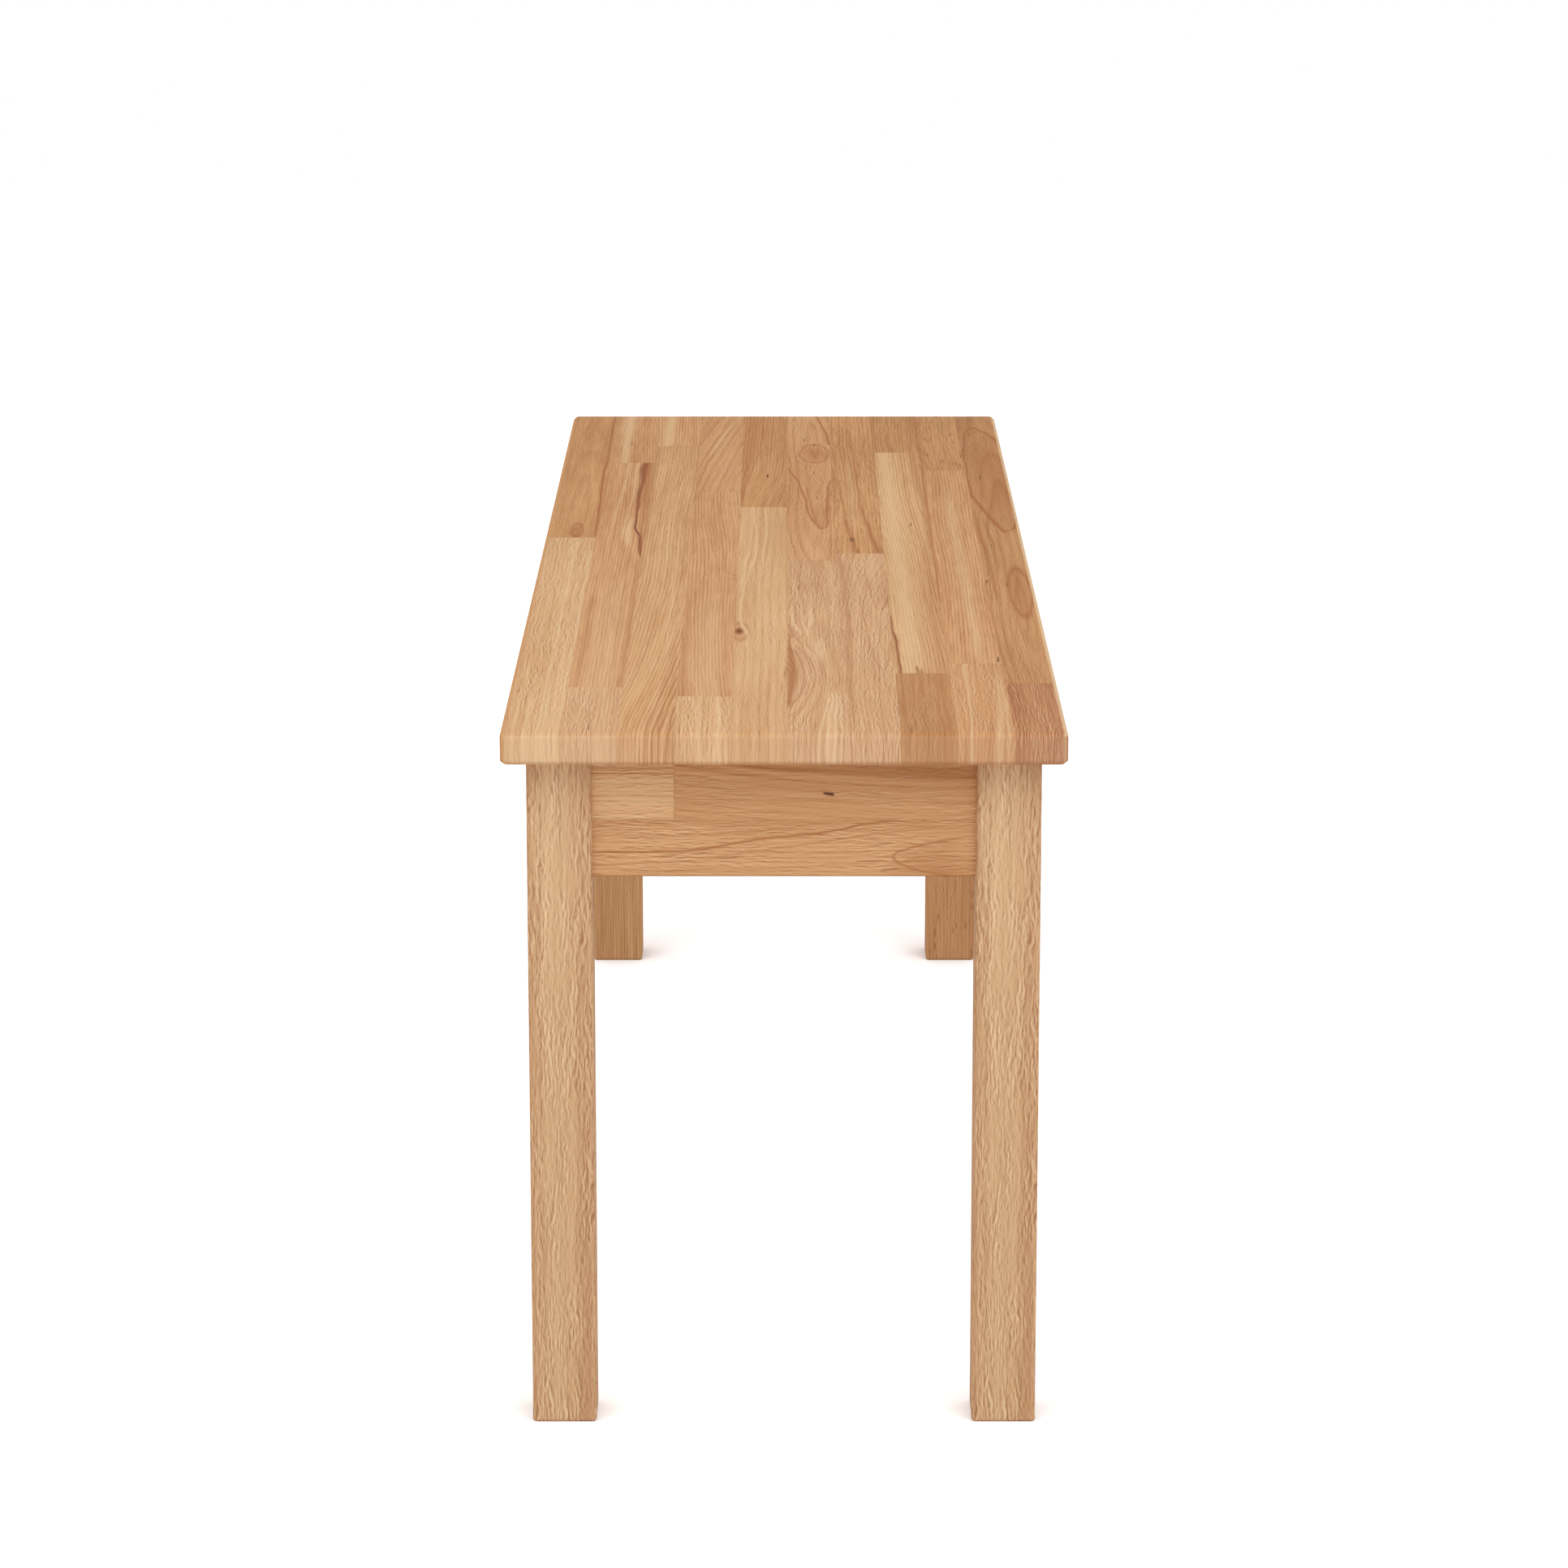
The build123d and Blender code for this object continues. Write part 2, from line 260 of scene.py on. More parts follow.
@dataclass(frozen=True)
class Oval:
    """A closed year ring round a rise in the grain, or a small knot, with its line and its inside, in mm."""

    shade: Shade
    centre: Pair
    radii: Pair
    line: float
    outline: float
    inside: float = 0.0


@dataclass(frozen=True)
class Arch:
    """A pointed year ring: its tip, and its half width at a reach along the grain, in mm."""

    shade: Shade
    tip: Pair
    half_width: float
    reach: float
    line: float
    outline: float
    inside: float = 0.0


@dataclass(frozen=True)
class Swell:
    """A place that the fibres bow round, with its centre, its radii and how far it pushes them across, in mm."""

    centre: Pair
    radii: Pair
    push: float


Mark = Streak | Oval | Arch


@dataclass(frozen=True)
class Look:
    """What one piece of wood looks like.

    Attributes:
        tone: Its colour.
        cut: Its figure.
        seed: Which stretch of the tree it comes from.
        lean: How far its grain drifts across, for each mm along.
        pith: Where the rings' centre lies across, in mm.
        depth: How deep the rings' centre lies under the face where along is 0, in mm.
        slope: How that depth changes, for each mm along.
        marks: Its single marks.
        swells: What its fibres flow round.
    """

    tone: Tone
    cut: Cut
    seed: float
    lean: float = 0.0
    pith: float = -420.0
    depth: float = 60.0
    slope: float = 0.0
    marks: tuple[Mark, ...] = ()
    swells: tuple[Swell, ...] = ()


@dataclass(frozen=True)
class Arrises:
    """Painted lines along a piece's eased arrises: painted shade, or on the seat's right side a painted highlight. The
    piece's box on its board, and their looks, in mm.
    """

    low: Triple
    high: Triple
    shade: Shade = Shade.RED
    strength: float = 0.75
    width: float = 1.3


class Source(Enum):
    """Where a piece's wood reads its place from: the board's own map, or the piece's object coordinates turned."""

    BOARD = None
    UPRIGHT = (-math.pi / 2, 0.0, 0.0)
    ALONG_X = (0.0, 0.0, math.pi / 2)
    ALONG_Y = (0.0, 0.0, 0.0)
    FALLING = (0.0, 0.0, math.pi / 4)
    RISING = (0.0, 0.0, -math.pi / 4)


class GrainTools:
    """The node groups that every piece of beech shares. Their lengths are in mm."""

    # Sizes of the grain's features across and along it. The vessel lines and flecks are drawn a few times coarser
    # than on real beech, whose vessels are under 0.1 mm wide, so that they show in the render
    drift = (45.0, 300.0)
    wobble = (9.0, 64.0)
    ripple = (3.0, 6.5)
    bands = (6.0, 430.0)
    fibres = (1.3, 52.0)
    vessels = (1.1, 5.0)
    flecks = (2.5, 15.0)
    # How far the drift, wobble and ripple push the fibres across, and how far the drift lifts the rings
    drift_push, wobble_push, ripple_push, drift_lift = 4.5, 1.7, 0.85, 11.0
    # How far the darkest vessel line with its painted relief shade, and the brightest painted highlight, go towards
    # their shade
    line_share = 0.55
    # How far apart the two looks at the vessel lines are that pick the side with painted shade and the side with a
    # painted highlight, in line widths
    light_step = (0.3, 0.0, 0.0)
    # How far into the tree one step of the seed goes
    seed_step = (311.0, 173.0, 97.0)

    def __init__(self) -> None:
        """Makes the groups once."""
        self.grain = self._grain()
        self.streak = self._streak()
        self.oval = self._oval()
        self.arch = self._arch()
        self.swell = self._swell()
        # The mask of the painted shade and painted highlight along the arrises
        self.arris = self._arris()

    def _grain(self) -> bpy.types.NodeTree:
        """Makes the wood's figure: rings, bands, fibres, wavy vessel lines drawn with painted relief shade and
        highlights, and flecks.

        Returns:
            The group, which gives the colour, the height of the surface, the share of dark grain and painted relief
            shade, and how far the fibres wander to the side.
        """
        numbers = ("Seed", "Lean", "Pith", "Depth", "Slope", "Spacing", "Rings", "Stripes", "Waves", "Flecks",
                   "Stretch", "Vessels")
        tree, put, given = new_group(
            "beech_grain", "Shader",
            {"Vector": {"Place": None}, "Float": dict.fromkeys(numbers), "Color": {"Pale": None, "Deep": None}},
            {"Color": ("Colour",), "Float": ("Height", "Dark", "Wander")},
        )

        def cells(place: bpy.types.Node, size: Pair) -> bpy.types.Node:
            """Gives the place in steps of a feature's size."""
            return put(ALL_TIMES, (place, (1 / size[0], 1 / size[1], 1 / size[0])))

        start = put(SCALED, {0: self.seed_step, "Scale": given["Seed"]})
        place = put(PARTED, (given["Place"],)).outputs
        cell = put(ALL_PLUS, (given["Place"], start))

        # Short features are drawn this much longer on a face that is seen at a slant
        squeeze = put(OVER, (1.0, given["Stretch"]))
        short = put(JOINED, (1.0, squeeze, 1.0))

        # Slow drift of the grain, its smaller wobble, and a short ripple
        slow, mid = (
            put("ShaderNodeSeparateColor", (
                put(NOISE, {"Vector": cells(cell, size), "Scale": 1.0, "Detail": detail}).outputs["Color"],
            )).outputs
            for size, detail in ((self.drift, 0.3), (self.wobble, 1.0))
        )
        ripple_place = put(ALL_TIMES, (cells(cell, self.ripple), short))
        ripple = put(NOISE, {"Vector": ripple_place, "Scale": 1.0, "Detail": 0.0})
        drift, wobble, rippled, rolling = (
            put(RANGE, (noise, 0.0, 1.0, -push, push), clamp=False)
            for noise, push in (
                (slow[0], self.drift_push), (mid[0], self.wobble_push), (ripple, self.ripple_push),
                (slow[1], self.drift_lift),
            )
        )
        wander = put(TIMES_PLUS, (rippled, squeeze, wobble))
        unrest = put(RANGE, (given["Waves"], 0.0, 1.0, 0.15, 1.0))
        moved = put(TIMES_PLUS, (wander, unrest, drift))
        leaned = put(TIMES_PLUS, (place[1], given["Lean"], moved))
        across = put(MINUS, (place[0], leaned))

        # Year rings round the pith, as contours of the distance from it, each dark late in the year
        sideways = put(MINUS, (across, given["Pith"]))
        rise = put(TIMES_PLUS, (place[1], given["Slope"], given["Depth"]))
        deeper = put(TIMES_PLUS, (place[2], 0.35, rolling))
        down = put(PLUS, (rise, deeper))
        radius = put(LENGTH, (put(JOINED, (sideways, down)),)).outputs["Value"]
        turns = put(OVER, (radius, given["Spacing"]))
        part, year = (put(f"ShaderNodeMath {piece}", (turns,)) for piece in ("FRACT", "FLOOR"))
        rising, falling = (
            put(RANGE, (part, begin, end), interpolation_type="SMOOTHSTEP") for begin, end in ((0.4, 0.86), (0.86, 1.0))
        )
        late = put(MINUS, (rising, falling))
        season = put("ShaderNodeTexWhiteNoise", {"W": year}, noise_dimensions="1D").outputs["Value"]
        vigour = put(RANGE, (season, 0.0, 1.0, 0.35, 1.0))
        ring = put(TIMES, (late, vigour))
        rings = put(TIMES, (ring, given["Rings"]))

        # Threads of the grain: broad bands and fine fibres
        thread = put(ALL_PLUS, (put(JOINED, (across, place[1], place[2])), start))
        bands, fibres = (
            put(NOISE, {"Vector": cells(thread, size), "Scale": 1.0, "Detail": detail, "Roughness": roughness})
            for size, detail, roughness in ((self.bands, 2.0, 0.62), (self.fibres, 1.0, 0.6))
        )
        band_tone = put(RANGE, (bands, 0.28, 0.72, -0.5, 0.5), clamp=False)
        fibre_tone = put(RANGE, (fibres, 0.3, 0.7, -0.6, 0.6), clamp=False)
        threads = put(PLUS, (band_tone, fibre_tone))
        slow_tone = put(RANGE, (slow[2], 0.25, 0.75, 0.22, 0.78), clamp=False)
        tone = put(TIMES_PLUS, (threads, given["Stripes"], slow_tone))

        # Wavy vessel lines, drawn as a painted relief: painted shade on one side and a painted highlight on the other
        fineness = put(OVER, (1.0, given["Vessels"]))
        wave_size = put(SCALED, {0: short, "Scale": fineness})
        wave_place = put(ALL_TIMES, (cells(thread, self.vessels), wave_size))
        beside = put(ALL_PLUS, (wave_place, self.light_step))
        wave, wave_beside = (put(NOISE, {"Vector": spot, "Scale": 1.0, "Detail": 0.6}) for spot in (wave_place, beside))
        tilt = put(MINUS, (wave, wave_beside))
        shaded, lit = (put(RANGE, (tilt, side * 0.03, side * 0.12)) for side in (1, -1))
        gate = put(RANGE, (mid[2], 0.36, 0.62, 0.35, 1.0), interpolation_type="SMOOTHSTEP")
        wave_share = put(TIMES, (gate, given["Waves"]))
        waves, glints = (put(TIMES, (side, wave_share)) for side in (shaded, lit))

        # Ray flecks, lens shaped, one in each cell that chance picks
        fleck_place = put(ALL_TIMES, (cells(thread, self.flecks), short))
        fleck = put("ShaderNodeTexVoronoi", {"Vector": fleck_place, "Scale": 1.0}).outputs
        chance = put("ShaderNodeSeparateColor", (fleck["Color"],))
        near = put(RANGE, (fleck["Distance"], 0.36, 0.16), interpolation_type="SMOOTHSTEP")
        chosen = put(RANGE, (chance, 0.35, 0.7))
        fleck_seen = put(TIMES, (near, chosen))
        flecks = put(TIMES, (fleck_seen, given["Flecks"]))

        # The late rings break up into dots where vessel lines cross them
        dotted = put(RANGE, (shaded, 0.0, 0.6, 0.7, 1.3))
        ring_dots = put(TIMES, (rings, dotted))
        ring_waves = put(PLUS, (ring_dots, waves))
        dark = put(PLUS, (ring_waves, flecks), use_clamp=True)
        colour = put(MIX, {0: tone, 6: given["Deep"], 7: given["Pale"]}, data_type="RGBA")
        # The painted highlight, then the dark grain with its painted relief shade, laid over the tone
        for mask, shade in ((glints, Shade.GLINT), (dark, Shade.VESSEL)):
            share = put(TIMES, (mask, self.line_share))
            colour = put(MIX, {0: share, 6: colour.outputs[2], 7: linear(shade.value)}, data_type="RGBA")

        # Height of the sanded surface: fibres stand a little proud, and each vessel line is a small step
        wave_height = put(TIMES, (wave, wave_share))
        height = put(TIMES_PLUS, (fibres, 0.25, wave_height))
        aside = put(TIMES_PLUS, (rippled, 0.35, wobble))
        put("NodeGroupOutput", {"Colour": colour.outputs[2], "Height": height, "Dark": dark, "Wander": aside})
        return tree

    @staticmethod
    def _bell(put: Put, distance: Feed, width: Feed) -> bpy.types.Node:
        """Adds nodes that give 1 at no distance and fall off softly to both sides.

        Args:
            put: The function that adds a node.
            distance: The distance.
            width: The half width of the line that this draws.

        Returns:
            The last node.
        """
        ratio = put(OVER, (distance, width))
        square = put(POWER, (ratio, 2.0))
        fade = put(TIMES, (square, -1.0))
        return put(EXPONENT, (fade,))

    @staticmethod
    def _from_centre(put: Put, given: bpy.types.bpy_prop_collection) -> bpy.types.Node:
        """Adds nodes that give the way from a group's centre to its place, in radii and flat on the face.

        Args:
            put: The function that adds a node.
            given: The group's inputs.

        Returns:
            The last node.
        """
        offset = put(ALL_MINUS, (given["Place"], given["Centre"]))
        share = put(ALL_OVER, (offset, given["Radii"]))
        return put(ALL_TIMES, (share, (1.0, 1.0, 0.0)))

    def _streak(self) -> bpy.types.NodeTree:
        """Makes the mask of one straight run of a streak.

        Returns:
            The group, which gives 1 on the streak and 0 away from it.
        """
        tree, put, given = new_group(
            "streak_run", "Shader", {"Vector": dict.fromkeys(("Place", "From", "To")), "Float": {"Feather": None}},
            {"Float": ("Mask",)},
        )
        place, first, last = (put(PARTED, (given[name],)).outputs for name in ("Place", "From", "To"))
        share = put(RANGE, (place[1], first[1], last[1]))
        middle, width = (put(RANGE, (share, 0.0, 1.0, first[axis], last[axis])) for axis in (0, 2))
        off = put(MINUS, (place[0], middle))
        beside = self._bell(put, off, width)
        before = put(MINUS, (first[1], given["Feather"]))
        after = put(PLUS, (last[1], given["Feather"]))
        begun = put(RANGE, (place[1], before, first[1]))
        ended = put(RANGE, (place[1], last[1], after, 1.0, 0.0))
        both = put(TIMES, (begun, ended))
        put("NodeGroupOutput", {"Mask": put(TIMES, (both, beside))})
        return tree

    def _oval(self) -> bpy.types.NodeTree:
        """Makes the masks of an oval's line and of its inside.

        Returns:
            The group.
        """
        tree, put, given = new_group(
            "oval_ring", "Shader", {"Vector": dict.fromkeys(("Place", "Centre", "Radii")), "Float": {"Line": None}},
            {"Float": ("Outline", "Inside")},
        )
        flat = self._from_centre(put, given)
        reach = put(LENGTH, (flat,)).outputs["Value"]
        off = put(MINUS, (reach, 1.0))
        off_mm = put(TIMES, (off, put(PARTED, (given["Radii"],))))
        inside = put(RANGE, (reach, 1.1, 0.45), interpolation_type="SMOOTHSTEP")
        put("NodeGroupOutput", {"Outline": self._bell(put, off_mm, given["Line"]), "Inside": inside})
        return tree

    def _arch(self) -> bpy.types.NodeTree:
        """Makes the masks of a pointed ring's line and of its inside.

        Returns:
            The group.
        """
        tree, put, given = new_group(
            "arch_ring", "Shader",
            {"Vector": dict.fromkeys(("Place", "Tip")), "Float": dict.fromkeys(("Half Width", "Reach", "Line"))},
            {"Float": ("Outline", "Inside")},
        )
        parts = put(PARTED, (put(ALL_MINUS, (given["Place"], given["Tip"])),)).outputs
        along = put(OVER, (parts[1], given["Reach"]))
        across = put(OVER, (parts[0], given["Half Width"]))
        square = put(POWER, (across, 2.0))
        value = put(MINUS, (along, square))
        steep = put(OVER, (across, given["Half Width"]))
        steeper = put(TIMES, (steep, 2.0))
        inverse = put(OVER, (1.0, given["Reach"]))
        size = put(LENGTH, (put(JOINED, (steeper, inverse)),)).outputs["Value"]
        line = self._bell(put, put(OVER, (value, size)), given["Line"])
        ending = put(RANGE, (along, 0.7, 1.2, 1.0, 0.0), interpolation_type="SMOOTHSTEP")
        within = put(RANGE, (value, 0.0, 0.25), interpolation_type="SMOOTHSTEP")
        outline, inside = (put(TIMES, (mask, ending)) for mask in (line, within))
        put("NodeGroupOutput", {"Outline": outline, "Inside": inside})
        return tree

    @staticmethod
    def _swell() -> bpy.types.NodeTree:
        """Makes the bow that fibres get beside a knot or a curl.

        Returns:
            The group, which gives the place that the grain is read at.
        """
        tree, put, given = new_group(
            "grain_swell", "Shader", {"Vector": dict.fromkeys(("Place", "Centre", "Radii")), "Float": {"Push": None}},
            {"Vector": ("Place",)},
        )
        flat = GrainTools._from_centre(put, given)
        square = put(DOT, (flat, flat)).outputs["Value"]
        fade = put(TIMES, (square, -1.0))
        falloff = put(EXPONENT, (fade,))
        aside = put(JOINED, (put(TIMES, (falloff, given["Push"])),))
        put("NodeGroupOutput", {"Place": put(ALL_MINUS, (given["Place"], aside))})
        return tree

    @staticmethod
    def _arris() -> bpy.types.NodeTree:
        """Makes the mask of the painted shade or highlight along the arrises of a piece's sides, and along the upright
        ones at its corners.

        Returns:
            The group, which gives 1 on the arrises.
        """
        tree, put, given = new_group(
            "arris_line", "Shader", {"Vector": dict.fromkeys(("Place", "Low", "High")), "Float": {"Width": None}},
            {"Float": ("Mask",)},
        )
        above = put(ALL_MINUS, (given["Place"], given["Low"]))
        below = put(ALL_MINUS, (given["High"], given["Place"]))
        parts = put(PARTED, (put(ALL_LEAST, (above, below)),)).outputs
        masks = [put(RANGE, (parts[axis], 0.0, given["Width"], 1.0, 0.0)) for axis in range(3)]
        other = put(MOST, (masks[1], masks[2]))
        both = put(TIMES, (masks[0], other))
        put("NodeGroupOutput", {"Mask": put(RANGE, (both, 0.25, 0.45))})
        return tree


@dataclass(frozen=True)
class OiledBeech:
    """Core beech, planed, sanded fine and oiled: a warm matt surface with fine dark vessel lines.

    Attributes:
        roughness: How matt the oiled pale wood is.
        dark_roughness: How matt the dark grain is, which takes up more oil.
        relief: How high the grain stands, in mm. It is drawn coarser than on a sanded board, so that it shows.
        index: The oil film's index of refraction.
        gloss: How much of a full film's gloss is left once the oil has sunk in.
        glue_width: Width of a glue line, in mm.
        glue_strength: How dark a glue line is.
        end_blush: How much paler and pinker a board's end is than its face.
        end_depth: How far the end's map runs down, in mm.
        foot_strength: How dark the painted shade on the downward arris at the end's foot is.
    """

    roughness: float = 0.68
    dark_roughness: float = 0.84
    relief: float = 0.13
    index: float = 1.47
    gloss: float = 0.05
    glue_width: float = 0.35
    glue_strength: float = 0.16
    end_blush: float = 0.1
    end_depth: float = 32.0
    foot_strength: float = 0.3

    def make(
        self,
        name: str,
        look: Look,
        tools: GrainTools,
        source: Source = Source.BOARD,
        centre: Triple = (0.0, 0.0, 0.0),
        edges: tuple[float, ...] = (),
        ends: tuple[float, ...] = (),
        face_end: float | None = None,
        stretch: float = 1.0,
        arrises: Arrises | None = None,
    ) -> bpy.types.Material:
        """Makes the material of one piece.

        Args:
            name: The material's name.
            look: What the piece looks like.
            tools: The shared node groups.
            source: Where the place on the wood comes from.
            centre: The point that the pattern starts from, in mm, in the turned frame.
            edges: Glue lines across the grain, in mm.
            ends: Glue lines along the grain, in mm.
            face_end: Where along the grain the face ends and the map runs on down over the board's end, in mm.
            stretch: How much longer than on a leg the vessel lines are drawn.
            arrises: Where its arrises lie, and the painted shade or painted highlight laid along them.

        Returns:
            The material.
        """
        material = bpy.data.materials.new(name)
        put = emptied(material)
        place = grain_place = self._place(put, source, centre)
        for swell in look.swells:
            grain_place = put(GROUP, {
                "Place": grain_place, "Centre": (*swell.centre, 0.0), "Radii": (*swell.radii, 1.0), "Push": swell.push,
            }, node_tree=tools.swell)
        figure = look.cut.value
        pale, deep = look.tone.value
        grain = put(GROUP, {
            "Place": grain_place, "Seed": look.seed, "Lean": look.lean, "Pith": look.pith, "Depth": look.depth,
            "Slope": look.slope, "Spacing": figure.spacing, "Rings": figure.rings, "Stripes": figure.stripes,
            "Waves": figure.waves, "Flecks": figure.flecks, "Stretch": stretch, "Vessels": figure.vessels,
            "Pale": linear(pale), "Deep": linear(deep),
        }, node_tree=tools.grain).outputs

        # The marks wander with the fibres, but for the ink-dark specks, which keep their place
        aside = put(JOINED, (grain["Wander"],))
        mark_place = put(ALL_MINUS, (place, aside))
        layers: list[Layer] = []
        for mark in look.marks:
            layers += self._mark(put, tools, place if mark.shade is INK else mark_place, mark)
        layers += self._glue(put, place, edges, ends, grain["Wander"])
        if face_end is not None:
            layers += self._end_face(put, place, face_end)
        # Painted shade, or on the seat's right side a painted highlight, along the arrises
        if arrises is not None:
            box = {"Place": place, "Low": arrises.low, "High": arrises.high, "Width": arrises.width}
            line = put(GROUP, box, node_tree=tools.arris)
            layers.append((put(TIMES, (line, arrises.strength)), arrises.shade.value))
        colour = grain["Colour"]
        for share, shade in layers:
            colour = put(MIX, {0: share, 6: colour, 7: linear(shade)}, data_type="RGBA").outputs[2]

        rough = put(RANGE, (grain["Dark"], 0.0, 1.0, self.roughness, self.dark_roughness))
        bump = put("ShaderNodeBump", {"Strength": 1.0, "Distance": self.relief * MM, "Height": grain["Height"]})
        surface = put("ShaderNodeBsdfPrincipled", {
            "Base Color": colour, "Roughness": rough, "Normal": bump, "IOR": self.index,
            "Specular IOR Level": self.gloss,
        })
        put("ShaderNodeOutputMaterial", {"Surface": surface})
        return material

    @staticmethod
    def _place(put: Put, source: Source, centre: Triple) -> bpy.types.Node:
        """Adds the nodes that give the place on the wood in mm: across, along the grain and through.

        Args:
            put: The function that adds a node.
            source: Where the place comes from.
            centre: The point that the pattern starts from.

        Returns:
            The last node.
        """
        if source is Source.BOARD:
            return put("ShaderNodeAttribute", attribute_name=PLACE_NAME, attribute_type="GEOMETRY")
        spot = put("ShaderNodeTexCoord").outputs["Object"]
        scale = (1 / MM, 1 / MM, 1 / MM)
        turned = put("ShaderNodeMapping", {"Vector": spot, "Rotation": source.value, "Scale": scale})
        return put(ALL_MINUS, (turned, centre))

    @staticmethod
    def _mark(put: Put, tools: GrainTools, place: bpy.types.Node, mark: Mark) -> Iterator[Layer]:
        """Adds the nodes of one mark.

        Args:
            put: The function that adds a node.
            tools: The shared node groups.
            place: The place on the wood.
            mark: The mark.

        Yields:
            Its layers, each as its share and its shade.
        """
        spot = place.outputs["Vector"]
        if isinstance(mark, Streak):
            mask = None
            for first, last in zip(mark.points, mark.points[1:]):
                ends = {"Place": spot, "From": first, "To": last, "Feather": mark.feather}
                run = put(GROUP, ends, node_tree=tools.streak)
                mask = run if mask is None else put(MOST, (mask, run))
            shares = ((mask, mark.strength),)
        else:
            if isinstance(mark, Oval):
                form = put(GROUP, {
                    "Place": spot, "Centre": (*mark.centre, 0.0), "Radii": (*mark.radii, 1.0), "Line": mark.line,
                }, node_tree=tools.oval)
            else:
                form = put(GROUP, {
                    "Place": spot, "Tip": (*mark.tip, 0.0), "Half Width": mark.half_width, "Reach": mark.reach,
                    "Line": mark.line,
                }, node_tree=tools.arch)
            shares = ((form.outputs["Inside"], mark.inside), (form.outputs["Outline"], mark.outline))
        for mask, strength in shares:
            if strength:
                yield put(TIMES, (mask, strength)), mark.shade.value

    def _glue(
        self, put: Put, place: bpy.types.Node, edges: tuple[float, ...], ends: tuple[float, ...], wander: Feed
    ) -> Iterator[Layer]:
        """Adds the nodes of the thin dark glue lines at the piece's edges.

        Args:
            put: The function that adds a node.
            place: The place on the wood.
            edges: Glue lines across the grain.
            ends: Glue lines along it.
            wander: How far the fibres wander, which makes the lines uneven.

        Yields:
            The layers, each as its share and its shade.
        """
        parts = put(PARTED, (place.outputs["Vector"],)).outputs
        strength = put(RANGE, (wander, -0.9, 0.9, 0.2 * self.glue_strength, self.glue_strength))
        # A finger joint is one straight line on the face alone
        on_face = put(RANGE, (parts[2], -1.0, -0.5, 0.0, strength))
        for axis, lines, full in ((0, edges, strength), (1, ends, on_face)):
            for line in lines:
                off = put(MINUS, (parts[axis], line))
                near = put(UNSIGNED, (off,))
                yield put(RANGE, (near, self.glue_width, 2 * self.glue_width, full, 0.0)), Shade.GLUE.value

    def _end_face(self, put: Put, place: bpy.types.Node, start: float) -> Iterator[Layer]:
        """Adds the nodes that make a board's end paler and pinker, with a darker, redder painted shade on the downward
        arris at its foot.

        Args:
            put: The function that adds a node.
            place: The place on the wood.
            start: Where the face ends along the grain.

        Yields:
            The layers, each as its share and its shade.
        """
        along = put(UNSIGNED, (put(PARTED, (place.outputs["Vector"],)).outputs[1],))
        foot = start + self.end_depth
        # A paler, pinker end, then painted shade on the downward-facing arris at its foot
        for reach, full, strength, shade in (
            (start + 1, start + 4, self.end_blush, Shade.END),
            (foot - 4.2, foot - 3.0, self.foot_strength, Shade.END_FOOT),
        ):
            yield put(RANGE, (along, reach, full, 0.0, strength)), shade.value


